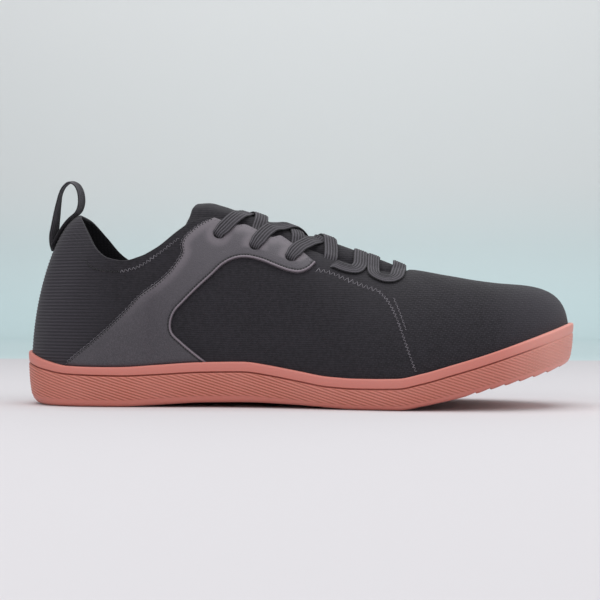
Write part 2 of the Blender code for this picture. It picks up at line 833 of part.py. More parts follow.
def rounded_path(corners, radius, spacing, closed=False):
    """Evenly divided line through corners, each turned with a radius."""
    count = len(corners)
    points = []
    for i, corner in enumerate(corners):
        corner = np.array(corner)
        if not closed and i in (0, count - 1):
            points.append(corner)
            continue
        before, after = np.array(corners[i - 1]), np.array(corners[(i + 1) % count])
        back, ahead = before - corner, after - corner
        cut = min(radius, np.linalg.norm(back) * 0.49, np.linalg.norm(ahead) * 0.49)
        start = corner + back / np.linalg.norm(back) * cut
        end = corner + ahead / np.linalg.norm(ahead) * cut
        for k in range(5):
            t = k / 4
            points.append(start * (1 - t) ** 2 + corner * 2 * t * (1 - t) + end * t * t)
    if closed:
        points.append(points[0])
    lengths = np.concatenate([[0], np.cumsum([math.dist(a, b) for a, b in zip(points, points[1:])])])
    steps = max(2, round(lengths[-1] / spacing))
    places = [lengths[-1] * k / steps for k in range(steps if closed else steps + 1)]
    columns = [[p[k] for p in points] for k in (0, 1)]
    return [tuple(float(np.interp(d, lengths, column)) for column in columns) for d in places]


def corner_place(side, number):
    share, half = LACE_CORNERS[number]
    x = along(share)
    return x, ridge_side(x) + side * half * BALL_WIDTH


def bump(distance, reach):
    """One at no distance, falling smoothly to nothing at the reach."""
    t = max(0.0, 1 - distance / reach)
    return t * t * (3 - 2 * t)


def crossing_corners(side, number):
    """Plan of a run from its eyelet to the opposite edge. It gains most ground where the last is steep."""
    x, y = eyelet_place(side, number)
    next_share = EYELETS[number + 1][0] if number + 1 < len(EYELETS) else LACE_CORNERS[0][0]
    ahead = along(next_share) + LACE_WIDTH * 0.5 - x
    ridge = ridge_side(x)
    last = x + ahead
    return [
        (x, y),
        (x + ahead * 0.27, ridge + (y - ridge) * 0.66),
        (x + ahead * 0.62, ridge),
        (last, ridge - side * throat_half_width(last) * 0.80),
    ]


def joined_laces(over, under):
    boolean(over, under, "UNION")
    return over


def lace_crossing(number, material):
    """Two runs that leave a pair of eyelets, cross over the tongue and dip under the opposite edges."""
    runs = []
    for side in (-1, 1):
        path = rounded_path(crossing_corners(side, number), LACE_SWEEP_RADIUS, LACE_STEP)
        rise = LACE_THICKNESS * 0.55 if side > 0 else 0.0
        raised = [rise * bump(abs(y - ridge_side(x)), LACE_WIDTH * 1.6) for x, y in path]
        tag = f"lace_crossing_{number + 1}" if side > 0 else f"lace_under_{number + 1}"
        runs.append(lace(tag, path, raised, material, low_side=-side))
    return joined_laces(runs[1], runs[0])


def lace_ladder(material):
    """Last crossing with the runs beside the throat and the bar that closes them."""
    turns = {side: [corner_place(side, k) for k in (0, 1)] for side in (-1, 1)}
    starts = {side: crossing_corners(side, 2)[:2] for side in (-1, 1)}
    x = turns[1][0][0]
    middle = (x - LACE_WIDTH * 0.80, ridge_side(x))
    long_path = rounded_path(
        starts[-1]
        + [
            middle,
            (x - LACE_WIDTH * 0.1, ridge_side(x) + throat_half_width(x)),
            turns[1][0],
            turns[1][1],
            turns[-1][1],
            (turns[-1][0][0] - LACE_WIDTH * 0.25, turns[-1][0][1]),
        ],
        LACE_TURN_RADIUS,
        LACE_STEP,
    )
    under = lace("lace_under_3", long_path, [0.0] * len(long_path), material)
    x, y = turns[-1][0]
    short_path = rounded_path(
        starts[1]
        + [
            (middle[0] + LACE_WIDTH * 0.25, middle[1]),
            (x - LACE_WIDTH * 0.1, ridge_side(x) - throat_half_width(x)),
            (x, y - LACE_WIDTH * 0.45),
        ],
        LACE_SWEEP_RADIUS,
        LACE_STEP,
    )
    rise = LACE_THICKNESS * 0.55
    raised = [rise * min(1.0, bump(max(0.0, b - ridge_side(a)), LACE_WIDTH * 1.6)) for a, b in short_path]
    over = lace("lace_crossing_3", short_path, raised, material)
    return joined_laces(over, under)


def lace_ring(material):
    """Closed loop of lace at the front of the throat."""
    corners = [corner_place(-1, 2), corner_place(1, 2), corner_place(1, 3), corner_place(-1, 3)]
    path = rounded_path(corners, LACE_TURN_RADIUS, LACE_STEP, closed=True)
    return lace("lace_ring", path, [0.0] * len(path), material, closed=True)


def pull_loop(material):
    """Tape that rises behind the heel, turns over and comes back down on the heel's back."""
    top = section_top(1, 0.0)[0]
    route = [Vector((top[0] + a * PULL_RISE, 0.0, top[2] + h * PULL_RISE)) for a, h in PULL_ROUTE]
    curve = rise_curve(1, 0.0)
    for rise in PULL_ON_HEEL:
        place = bezier(curve, rise)
        run = bezier(curve, rise + 0.02) - bezier(curve, rise - 0.02)
        away = Vector((-run[2], 0.0, run[0])).normalized()
        route.append(Vector((place[0], 0.0, place[2])) + away * (CLEARANCE + PULL_THICKNESS / 2))
    normals = []
    for i in range(len(route)):
        ahead, behind = route[min(i + 1, len(route) - 1)], route[max(i - 1, 0)]
        normals.append((ahead - behind).cross(Vector((0.0, 1.0, 0.0))).normalized())
    return ribbon("pull_loop", route, normals, PULL_WIDTH, PULL_THICKNESS, False, material)


def main():
    clear_scene()
    knit = principled("black_knit", (0.017, 0.016, 0.020), 0.9)
    lining = principled("black_textile", (0.012, 0.012, 0.014), 0.95)
    leather = principled("grey_black_leather", (0.055, 0.050, 0.058), 0.55)
    webbing = principled("charcoal_webbing", (0.040, 0.038, 0.044), 0.85)
    rubber = principled("gum_rubber", (0.52, 0.20, 0.12), 0.6)
    outsole(rubber)
    insole(lining)
    upper(knit)
    tongue(LAST, knit)
    for side in (-1, 1):
        eyestay(side, leather)
    for number in range(len(EYELETS) - 1):
        lace_crossing(number, webbing)
    lace_ladder(webbing)
    lace_ring(webbing)
    pull_loop(webbing)


LAST = LastSurface()
main()
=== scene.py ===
import math

import bmesh
import bpy
import numpy as np
from mathutils import Matrix, Vector
from mathutils.bvhtree import BVHTree
from mathutils.geometry import delaunay_2d_cdt


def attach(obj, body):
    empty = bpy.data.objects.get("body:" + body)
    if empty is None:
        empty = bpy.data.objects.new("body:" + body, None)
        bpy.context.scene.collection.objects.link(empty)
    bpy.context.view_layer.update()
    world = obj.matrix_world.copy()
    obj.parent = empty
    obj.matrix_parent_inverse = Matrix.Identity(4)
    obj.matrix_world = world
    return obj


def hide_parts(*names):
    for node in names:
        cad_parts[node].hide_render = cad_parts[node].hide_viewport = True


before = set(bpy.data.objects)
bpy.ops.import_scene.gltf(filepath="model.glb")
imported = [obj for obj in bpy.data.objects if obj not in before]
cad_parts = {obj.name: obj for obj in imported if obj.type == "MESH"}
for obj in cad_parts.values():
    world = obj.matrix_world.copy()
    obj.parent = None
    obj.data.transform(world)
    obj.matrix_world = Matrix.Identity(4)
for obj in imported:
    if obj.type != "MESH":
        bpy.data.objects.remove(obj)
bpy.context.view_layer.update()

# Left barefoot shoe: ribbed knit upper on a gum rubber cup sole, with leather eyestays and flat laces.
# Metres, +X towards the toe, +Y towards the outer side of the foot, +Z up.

# The sole's and the last's own sizes, as in the CAD model
SOLE_LENGTH = 0.280
BALL_WIDTH = 0.104
HEEL_WIDTH = 0.072
SIDE_HEIGHT = 0.021
TOE_SPRING = 0.0225
ARCH_LIFT = 0.003
FLOOR_THICKNESS = 0.0055
RIM_TOP_WIDTH = 0.0012
GROOVE_BELOW_RIM = 0.0050
LUG_PITCH = 0.0070
LUG_GROOVE_WIDTH = 0.0019
LUG_GROOVE_DEPTH = 0.0012
TOE_STEPS_FROM = 0.79
TOE_STEP_DEPTH = 0.0009
HEEL_HEIGHT = 0.098
INSTEP_HEIGHT = 0.1053
VAMP_HEIGHT = 0.0695
COLLAR_WIDTH = 0.066
THROAT_WIDTH = 0.036
UPPER_INSET = 0.0022
UPPER_WALL = 0.0020
CLEARANCE = 0.0003
INSOLE_THICKNESS = 0.0030
TONGUE_THICKNESS = 0.0025
TONGUE_UNDERLAP = 0.007
TONGUE_VAMP_LAP = 0.012
LEATHER_THICKNESS = 0.0011
EYELET_DIAMETER = 0.0050
LACE_WIDTH = 0.0072
LACE_THICKNESS = 0.0014
LACE_SAG = 0.0021
PULL_WIDTH = 0.0096
PULL_THICKNESS = 0.0012
PULL_RISE = 0.0173

# Outline of the sole, from the heel to the toe tip: length share, then the side's share of a width
INNER_HEEL = ((0.012, 0.19), (0.045, 0.36), (0.100, 0.468), (0.170, 0.50), (0.280, 0.488))
INNER_BALL = (
    (0.400, 0.335),
    (0.500, 0.375),
    (0.600, 0.445),
    (0.680, 0.490),
    (0.740, 0.500),
    (0.820, 0.484),
    (0.900, 0.424),
    (0.955, 0.318),
    (0.988, 0.186),
)
OUTER_HEEL = ((0.010, 0.18), (0.040, 0.35), (0.090, 0.46), (0.160, 0.508), (0.250, 0.53))
OUTER_BALL = (
    (0.350, 0.402),
    (0.450, 0.442),
    (0.560, 0.487),
    (0.660, 0.500),
    (0.760, 0.480),
    (0.850, 0.416),
    (0.920, 0.320),
    (0.965, 0.205),
    (0.992, 0.070),
)
TOE_TIP_SIDE = -0.062

# Underside: length share, share of the toe spring, share of the arch lift
UNDERSIDE = (
    (0.00, 0.00, 0.0),
    (0.19, 0.00, 0.0),
    (0.26, 0.00, 0.4),
    (0.34, 0.00, 0.9),
    (0.42, 0.00, 1.0),
    (0.50, 0.00, 0.7),
    (0.57, 0.00, 0.25),
    (0.62, 0.00, 0.0),
    (0.69, 0.00, 0.0),
    (0.73, 0.09, 0.0),
    (0.785, 0.245, 0.0),
    (0.85, 0.465, 0.0),
    (0.915, 0.685, 0.0),
    (1.00, 1.00, 0.0),
)

# Height of the side wall: length share, inner side and outer side as shares of its heel height,
# then the band over the groove as a share of its height
SIDE_WALL = (
    (0.000, 1.31, 1.31, 1.12),
    (0.045, 1.11, 1.11, 0.93),
    (0.100, 0.975, 0.975, 0.83),
    (0.160, 0.955, 0.945, 0.86),
    (0.290, 0.965, 0.935, 1.00),
    (0.411, 0.970, 0.88, 1.02),
    (0.463, 0.90, 0.83, 1.0),
    (0.514, 0.81, 0.78, 1.0),
    (0.570, 0.735, 0.74, 1.0),
    (0.640, 0.73, 0.73, 1.0),
    (0.730, 0.76, 0.76, 1.0),
    (0.783, 0.81, 0.81, 1.0),
    (0.848, 0.85, 0.84, 1.0),
    (0.915, 0.93, 0.92, 1.0),
    (1.000, 1.02, 1.02, 1.0),
)

# The side wall's rounded section below the groove: share of the way up it, height share, inset as a
# share of the side height, and the inset at the heel's and the toe's ends, where it is rounder
WALL_CURVE = (
    (0.00, 0.000, 0.285, 0.400),
    (0.10, 0.018, 0.200, 0.270),
    (0.20, 0.075, 0.130, 0.170),
    (0.32, 0.180, 0.086, 0.095),
    (0.50, 0.380, 0.048, 0.048),
    (0.75, 0.690, 0.015, 0.015),
    (1.00, 1.000, 0.000, 0.000),
)

# Top of the last's sections: share of the way round, place along the sole, half opening as a share of
# the collar or throat, height, slope in degrees at the top, outward lean, fullness low and high
COLLAR_ROWS = (
    (0.00, 0.0946, 0.00, 1.000, 3, 0.10, 0.50, 0.122),
    (0.035, 0.1030, 0.34, 0.980, 22, 0.09, 0.48, 0.13),
    (0.075, 0.1240, 0.66, 0.893, 58, 0.08, 0.46, 0.18),
    (0.115, 0.1450, 0.87, 0.808, 72, 0.06, 0.44, 0.25),
    (0.155, 0.1690, 0.955, 0.759, 79, 0.05, 0.42, 0.30),
    (0.200, 0.1990, 1.00, 0.744, 81, 0.05, 0.40, 0.30),
    (0.250, 0.2280, 0.99, 0.765, 79, 0.05, 0.40, 0.30),
    (0.300, 0.2600, 0.93, 0.815, 72, 0.05, 0.40, 0.30),
    (0.345, 0.2900, 0.82, 0.890, 62, 0.06, 0.40, 0.30),
    (0.375, 0.3130, 0.71, 0.945, 54, 0.06, 0.40, 0.30),
)
THROAT_ROWS = (
    (0.410, 0.3480, 1.14, 1.372, 46, 0.06, 0.40, 0.30),
    (0.500, 0.4400, 1.00, 1.275, 38, 0.07, 0.40, 0.32),
    (0.580, 0.5350, 0.92, 1.125, 33, 0.08, 0.42, 0.34),
    (0.660, 0.6250, 0.82, 1.008, 27, 0.09, 0.46, 0.38),
    (0.700, 0.6710, 0.66, 0.975, 20, 0.09, 0.48, 0.42),
    (0.728, 0.6980, 0.36, 0.982, 12, 0.09, 0.50, 0.47),
    (0.745, 0.7080, 0.00, 0.995, 6, 0.09, 0.52, 0.50),
    (0.820, 0.7600, 0.00, 0.958, 3, 0.08, 0.56, 0.54),
    (0.880, 0.8040, 0.00, 0.922, 2, 0.07, 0.60, 0.55),
    (0.940, 0.8480, 0.00, 0.898, 2, 0.07, 0.68, 0.56),
    (1.000, 0.8860, 0.00, 0.886, 2, 0.07, 0.73, 0.57),
)
THROAT_END = 0.745

# Ridge of the last over the throat: place along the sole, share of the instep height
INSTEP_RIDGE = (
    (0.270, 0.960),
    (0.295, 0.988),
    (0.315, 0.998),
    (0.340, 1.000),
    (0.364, 0.984),
    (0.404, 0.955),
    (0.454, 0.911),
    (0.500, 0.866),
    (0.550, 0.817),
    (0.600, 0.769),
    (0.657, 0.713),
    (0.708, 0.657),
)
RIDGE_SIDE_AT_TOE = -0.035
INSTEP_START = 0.315

# Eyelets on one side: length share, half width as a share of the ball's. The ladder's place follows.
EYELETS = ((0.3675, 0.2375), (0.4330, 0.2440), (0.4972, 0.2500))
LADDER_FROM = 0.544


def smooth_step(low, high, value):
    """0 below low, 1 above high, smooth between."""
    t = np.clip((np.asarray(value, float) - low) / (high - low), 0.0, 1.0)
    return t * t * (3 - 2 * t)


def table_at(rows, at):
    """Columns of a table at many places, by monotone cubic steps between its rows."""
    keys = np.array([row[0] for row in rows], float)
    values = np.array([row[1:] for row in rows], float)
    spans = np.diff(keys)[:, None]
    steps = np.diff(values, axis=0) / spans
    product, total = steps[:-1] * steps[1:], steps[:-1] + steps[1:]
    inner = np.where(product > 0, 2 * product / np.where(product > 0, total, 1.0), 0.0)
    slopes = np.vstack([steps[:1], inner, steps[-1:]])
    at = np.clip(np.asarray(at, float), keys[0], keys[-1])
    i = np.clip(np.searchsorted(keys, at, side="right") - 1, 0, len(keys) - 2)
    t = ((at - keys[i]) / spans[i, 0])[..., None]
    rise = values[i] * (1 + 2 * t) * (1 - t) ** 2 + values[i + 1] * t * t * (3 - 2 * t)
    return rise + slopes[i] * spans[i] * t * (1 - t) ** 2 + slopes[i + 1] * spans[i] * t * t * (t - 1)


def along(share):
    """X of a share of the sole's length, from the heel."""
    return (share - 0.5) * SOLE_LENGTH


def share_of(x):
    """Share of the sole's length at a place along X."""
    return x / SOLE_LENGTH + 0.5


def outline_points(side):
    """Control points of one side of the sole's outline."""
    heel, ball = (INNER_HEEL, INNER_BALL) if side < 0 else (OUTER_HEEL, OUTER_BALL)
    points = [(along(0.0), 0.0)]
    points += [(along(a), side * w * HEEL_WIDTH) for a, w in heel]
    points += [(along(a), side * w * BALL_WIDTH) for a, w in ball]
    return points + [(along(1.0), TOE_TIP_SIDE * BALL_WIDTH)]


def closed_curve(points, steps):
    """Curve through a closed ring of points, with knots spaced by the root of each chord."""
    count = len(points)
    knots = [math.sqrt(math.dist(points[i], points[(i + 1) % count])) for i in range(count)]
    curve = []
    for i in range(count):
        p = [np.array(points[(i + k) % count]) for k in (-1, 0, 1, 2)]
        before, here, after = knots[i - 1], knots[i], knots[(i + 1) % count]
        start = (p[1] - p[0]) / before - (p[2] - p[0]) / (before + here) + (p[2] - p[1]) / here
        end = (p[2] - p[1]) / here - (p[3] - p[1]) / (here + after) + (p[3] - p[2]) / after
        for step in range(steps):
            t = step / steps
            low = p[1] * (1 + 2 * t) * (1 - t) ** 2 + start * here * t * (1 - t) ** 2
            curve.append(low + p[2] * t * t * (3 - 2 * t) + end * here * t * t * (t - 1))
    return np.array(curve)


def run_lengths(points):
    """Length along a line at each of its points."""
    return np.concatenate([[0.0], np.cumsum(np.linalg.norm(np.diff(points, axis=0), axis=-1))])


class Outline:
    """The sole's outline, read by side and by share of the way from the heel to the toe tip."""

    def __init__(self):
        inner, outer = outline_points(-1), outline_points(1)
        ring = closed_curve(inner + outer[-2:0:-1], 30)
        tip = int(np.argmax(ring[:, 0]))
        halves = {-1: ring[: tip + 1], 1: np.vstack([ring[:1], ring[tip:][::-1]])}
        self.lines = {}
        for side in (-1, 1):
            half, other = halves[side], halves[-side]
            line = np.vstack([other[1:60][::-1], half, other[-60:-1][::-1]])
            places = run_lengths(line)
            self.lines[side] = line, places - places[59], run_lengths(half)[-1]

    def at(self, side, shares):
        """Points and inward directions."""
        line, places, length = self.lines[side]
        place = np.asarray(shares, float) * length
        reach = length * 0.012

        def point(at):
            return np.stack([np.interp(at, places, line[:, k]) for k in (0, 1)], axis=-1)

        run = point(place + reach) - point(place - reach)
        inward = np.stack([-run[..., 1], run[..., 0]], axis=-1) * -side
        return point(place), inward / np.linalg.norm(inward, axis=-1, keepdims=True)

    def halves_at(self, x):
        """Distances from the middle line to the inner and the outer edge at a place."""
        result = []
        for side in (-1, 1):
            line = self.lines[side][0][60:-60]
            result.append(float(np.interp(x, line[:, 0], np.abs(line[:, 1]))))
        return result


OUTLINE = Outline()


def underside_height(x, y):
    """Height of the sole's underside. The arch lifts towards the inner side."""
    columns = table_at(UNDERSIDE, share_of(x))
    inner_side = np.clip(0.5 - y / BALL_WIDTH, 0.0, 1.0)
    return TOE_SPRING * columns[..., 0] + ARCH_LIFT * columns[..., 1] * (0.35 + 0.65 * inner_side)


def rim_height(side, x):
    """Height of the side wall up to its rim."""
    return SIDE_HEIGHT * table_at(SIDE_WALL, share_of(x))[..., 0 if side < 0 else 1]


def band_height(x):
    """Height of the smooth band between the groove and the rim."""
    return GROOVE_BELOW_RIM * table_at(SIDE_WALL, share_of(x))[..., 2]


def rim_top(side, shares):
    """Height of the rim over the ground."""
    foot, inward = OUTLINE.at(side, shares)
    ground = foot + inward * WALL_CURVE[0][2] * SIDE_HEIGHT
    return underside_height(ground[..., 0], ground[..., 1]) + rim_height(side, foot[..., 0])


def ridge_side(x):
    """The ridge drifts to the inner side towards the toe."""
    return RIDGE_SIDE_AT_TOE * BALL_WIDTH * smooth_step(0.60, 0.90, share_of(x))


def section_tops(side, shares):
    """Top of each section of the last: point, slope there, lean, fullness low and high."""
    last = COLLAR_ROWS[-1]
    bridge = (last[0], last[1], last[2] * COLLAR_WIDTH / THROAT_WIDTH, last[3] * HEEL_HEIGHT / VAMP_HEIGHT)
    collar = table_at(COLLAR_ROWS, shares)
    throat = table_at((bridge + last[4:],) + THROAT_ROWS, shares)
    behind = (shares <= last[0])[..., None]
    rows = np.where(behind, collar, throat)
    width = np.where(behind[..., 0], COLLAR_WIDTH, THROAT_WIDTH)
    height = np.where(behind[..., 0], HEEL_HEIGHT, VAMP_HEIGHT)
    x = along(rows[..., 0])
    top = np.stack([x, ridge_side(x) + side * rows[..., 1] * width / 2, rows[..., 2] * height], axis=-1)
    return top, np.radians(rows[..., 3]), rows[..., 4], rows[..., 5], rows[..., 6]


def rise_curves(side, shares):
    """Control points of lines up the last, from inside the cup to the collar, throat or ridge."""
    shares = np.asarray(shares, float)
    foot, inward = OUTLINE.at(side, shares)
    flat = foot + inward * UPPER_INSET
    top, slope, lean, low, high = section_tops(side, shares)
    floor = underside_height(flat[..., 0], flat[..., 1]) + FLOOR_THICKNESS + CLEARANCE
    base = np.concatenate([flat, floor[..., None]], axis=-1)
    rise = (top[..., 2] - base[..., 2])[..., None]
    out = np.concatenate([-inward * lean[..., None], np.ones_like(floor)[..., None]], axis=-1)
    towards = flat - top[..., :2]
    towards /= np.linalg.norm(towards, axis=-1, keepdims=True)
    fall = np.concatenate([towards * np.cos(slope)[..., None], -np.sin(slope)[..., None]], axis=-1)
    reach = np.linalg.norm(top - base, axis=-1, keepdims=True)
    lower = base + out * rise * low[..., None]
    upper = top + fall * reach * high[..., None]
    return np.stack([base, lower, upper, top], axis=-2)


def bezier(curves, t):
    """Points of cubic curves. Curves end in (4, 3) and t holds a row of shares for each."""
    p = [curves[..., k, :][..., None, :] for k in range(4)]
    t = np.asarray(t)[..., None]
    return p[0] * (1 - t) ** 3 + 3 * p[1] * t * (1 - t) ** 2 + 3 * p[2] * t * t * (1 - t) + p[3] * t**3


def height_share(curves, z):
    """Where rising curves reach a height. z holds a row of heights for each."""
    low, high = np.zeros_like(z), np.ones_like(z)
    for _ in range(24):
        middle = (low + high) / 2
        under = bezier(curves, middle)[..., 2] < z
        low, high = np.where(under, middle, low), np.where(under, high, middle)
    return (low + high) / 2


def arc_shares(curves, start, count):
    """Shares that divide each curve evenly by length from its start share to its end."""
    fine = start[:, None] + (1 - start[:, None]) * np.linspace(0, 1, 200)
    points = bezier(curves, fine)
    result = []
    for line, row in zip(points, fine):
        places = run_lengths(line)
        result.append(np.interp(np.linspace(0, places[-1], count), places, row))
    return np.array(result)


def grid_normals(grid, turn=1.0):
    """Normals of a grid of points, from its neighbours."""
    cross = np.cross(np.gradient(grid, axis=0), np.gradient(grid, axis=1)) * turn
    return cross / np.maximum(np.linalg.norm(cross, axis=-1, keepdims=True), 1e-12)


def keep(name, bm, materials, smooth_angle=None):
    """Plain mesh object at the origin from a bmesh."""
    mesh = bpy.data.meshes.new(name)
    bm.to_mesh(mesh)
    bm.free()
    mesh.shade_smooth()
    if smooth_angle:
        mesh.set_sharp_from_angle(angle=math.radians(smooth_angle))
    obj = bpy.data.objects.new(name, mesh)
    bpy.context.scene.collection.objects.link(obj)
    for material in materials:
        mesh.materials.append(material)
    return obj


def grid_bmesh(grid, uv=None, closed=(False, False), skip=None, slot_of=None, diagonal=None, relief=None):
    """Quads between rows and columns of points, with points that coincide merged. uv holds metres."""
    bm = bmesh.new()
    layer = bm.loops.layers.uv.new("cloth")
    height = bm.verts.layers.float.new("relief") if relief is not None else None
    made = [[bm.verts.new(p) for p in row] for row in grid]
    if relief is not None:
        for line, values in zip(made, relief):
            for vert, value in zip(line, values):
                vert[height] = value
    rows, columns = grid.shape[:2]
    for i in range(rows if closed[0] else rows - 1):
        for j in range(columns if closed[1] else columns - 1):
            if skip is not None and skip(i, j):
                continue
            a, b = (i + 1) % rows, (j + 1) % columns
            corners = ((i, j), (i, b), (a, b), (a, j))
            ids = ((i, j), (i, j + 1), (i + 1, j + 1), (i + 1, j))
            turn = diagonal(i, j) if diagonal is not None else 0
            parts = {0: ((0, 1, 2, 3),), 1: ((0, 1, 3), (1, 2, 3)), -1: ((0, 1, 2), (0, 2, 3))}[turn]
            for part in parts:
                face = bm.faces.new([made[corners[k][0]][corners[k][1]] for k in part])
                if slot_of is not None:
                    face.material_index = slot_of(i, j)
                if uv is not None:
                    for loop, k in zip(face.loops, part):
                        loop[layer].uv = uv[ids[k][0] % uv.shape[0], ids[k][1] % uv.shape[1]]
    bmesh.ops.remove_doubles(bm, verts=bm.verts, dist=2e-6)
    bmesh.ops.dissolve_degenerate(bm, edges=bm.edges, dist=1e-7)
    bmesh.ops.recalc_face_normals(bm, faces=bm.faces)
    return bm


RIB_PITCH = 0.00165
RIB_RELIEF = 0.00026
RIB_ROWS_FROM, RIB_ROWS_TO = 0.0175, 0.070
COLLAR_ROLL = 0.0004

# Rows of points: up each rib, above the ribbed part, round the collar's edge, down the lining
RIB_STEPS = 6
ROWS_OVER_RIBS = 86
EDGE_ROWS = 5
LINING_ROWS = 26

# Where the heel's ribs fade out: share of the way round, height, distance below the collar
RIB_FADE_ROUND = (0.085, 0.15)
RIB_FADE_LOW = (0.016, 0.019)
RIB_FADE_COLLAR = (0.001, 0.005)

# Rows are level at the heel, for the ribs, and evenly spaced from here forward
LEVEL_ROWS_TO = (0.14, 0.26)


def upper_stations():
    """Shares of the way round where the upper has a row, one of them at the throat's end."""
    even = np.linspace(0.0, 1.0, 129)
    even = even[np.abs(even - THROAT_END) > 0.002]
    return np.sort(np.append(even, [THROAT_END]))


def upper_rows(side, shares):
    """Curves up one half of the last, and the outer skin on them with its ribs."""
    curves = rise_curves(side, shares)
    tops = curves[:, 3, 2]
    low = np.full(len(shares), RIB_ROWS_FROM)
    level_rows = int(round((RIB_ROWS_TO - RIB_ROWS_FROM) / (RIB_PITCH / RIB_STEPS)))
    level = low[:, None] + np.arange(level_rows + 1) * RIB_PITCH / RIB_STEPS
    start = RIB_ROWS_FROM + level_rows * RIB_PITCH / RIB_STEPS
    rest = start + (tops[:, None] - start) * np.arange(1, ROWS_OVER_RIBS + 1) / ROWS_OVER_RIBS
    level_share = height_share(curves, np.minimum(np.hstack([level, rest]), tops[:, None]))
    level_share[:, -1] = 1.0
    rim = height_share(curves, (rim_top(side, shares) - 0.003)[:, None])[:, 0]
    even_share = arc_shares(curves, rim, level_share.shape[1])
    front = smooth_step(*LEVEL_ROWS_TO, shares)[:, None]
    t = level_share * (1 - front) + even_share * front
    foot_t = t[:, :1] * np.array([0.0, 0.3, 0.6, 0.85])
    t = np.hstack([foot_t, t])
    skin = bezier(curves, t)
    normals = grid_normals(skin, -side)
    phase = (skin[..., 2] - RIB_ROWS_FROM) / RIB_PITCH
    fade = (1 - smooth_step(*RIB_FADE_ROUND, shares))[:, None]
    fade = fade * smooth_step(*RIB_FADE_COLLAR, tops[:, None] - skin[..., 2])
    fade = fade * smooth_step(*RIB_FADE_LOW, skin[..., 2])
    skin = skin + normals * (RIB_RELIEF * fade * (0.5 - 0.5 * np.cos(phase * 2 * math.pi)))[..., None]
    return curves, skin


def upper(knit, lining):
    """Knitted upper in one piece: ribbed skin, rolled collar edge and lining, closed over the toes."""
    shares = upper_stations()
    halves, uvs = [], []
    for side in (-1, 1):
        curves, skin = upper_rows(side, shares)
        inside_t = np.linspace(1.0, 0.0, LINING_ROWS)[None, :] * np.ones((len(shares), 1))
        flat_t = np.linspace(0.0, 1.0, 60)[None, :] * np.ones((len(shares), 1))
        coarse = bezier(curves, flat_t)
        coarse_normals = grid_normals(coarse, -side)
        wall = []
        for k in range(3):
            wall.append([np.interp(inside_t[0], flat_t[0], row[:, k]) for row in coarse_normals])
        wall = np.stack(wall, axis=-1)
        wall /= np.linalg.norm(wall, axis=-1, keepdims=True)
        merged = shares >= THROAT_END - 1e-6
        wall[merged, 0, :] = wall[merged, 0, :] * np.array([1.0, 0.0, 1.0])
        wall /= np.linalg.norm(wall, axis=-1, keepdims=True)
        inside = bezier(curves, inside_t) - wall * UPPER_WALL
        top, out = skin[:, -1], wall[:, 0]
        rise = skin[:, -1] - skin[:, -3]
        rise /= np.linalg.norm(rise, axis=-1, keepdims=True)
        opening = np.where(shares > 0.5, np.abs(top[:, 1] - ridge_side(top[:, 0])), COLLAR_WIDTH)
        roll = np.minimum(COLLAR_ROLL, opening * 0.5)[:, None]
        edge = []
        for k in range(1, EDGE_ROWS + 1):
            angle = math.pi * k / (EDGE_ROWS + 1)
            middle = top - out * UPPER_WALL / 2
            edge.append(middle + out * math.cos(angle) * UPPER_WALL / 2 + rise * math.sin(angle) * roll)
        line = np.concatenate([skin, np.stack(edge, axis=1), inside], axis=1)
        places = np.array([run_lengths(row) for row in line])
        girth = shares * OUTLINE.lines[side][2] * side
        uv = np.stack([np.repeat(girth[:, None], line.shape[1], axis=1), places], axis=-1)
        halves.append(line)
        uvs.append(uv)
    grid = np.concatenate([halves[0], halves[1][-2:0:-1]])
    uv = np.concatenate([uvs[0], uvs[1][-2:0:-1]])
    station = np.concatenate([shares, shares[-2:0:-1]])
    skin_rows = halves[0].shape[1] - LINING_ROWS - EDGE_ROWS
    closing = len(station)

    def skip(i, j):
        both = station[i] >= THROAT_END - 1e-6 and station[(i + 1) % closing] >= THROAT_END - 1e-6
        return both and skin_rows - 1 <= j < skin_rows + EDGE_ROWS

    bm = grid_bmesh(grid, uv, (True, True), skip, lambda i, j: 1 if j >= skin_rows + 2 else 0)
    obj = keep("knit_upper", bm, [knit, lining])
    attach(obj, "root")
    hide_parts("upper")
    return obj


SOLE_RIB_PITCH = 0.00147
SOLE_RIB_SLOPE = math.tan(math.radians(17.5))
SOLE_RIB_RELIEF = 0.00030
SOLE_RIBS_FROM = 0.34
GROOVE_HALF = 0.0005
GROOVE_PROFILE = ((-1.0, 0.0), (-0.6, 0.62), (-0.3, 0.95), (0.0, 1.0), (0.3, 0.95), (0.6, 0.62), (1.0, 0.0))
GROOVE_DEPTH = 0.0007

# Rows of points up the side wall: below its ribs, then across them
WALL_LOW_ROWS = 12
WALL_RIB_ROWS = 66
BAND_ROWS = 13

# Places along X where the ribs turn to dots at the toe, and where the groove gets faint
TOE_DOTS = (0.106, 0.122)
TOE_DOTS_LEAN = 0.9
FAINT_GROOVE = (0.112, 0.130)

# Rolled band over the groove: share of the way up it, inset in millimetres
BAND_CURVE = (
    (0.00, 0.12),
    (0.10, -0.12),
    (0.30, -0.28),
    (0.55, -0.30),
    (0.75, -0.12),
    (0.88, 0.20),
    (0.96, 0.62),
    (1.00, 1.05),
)


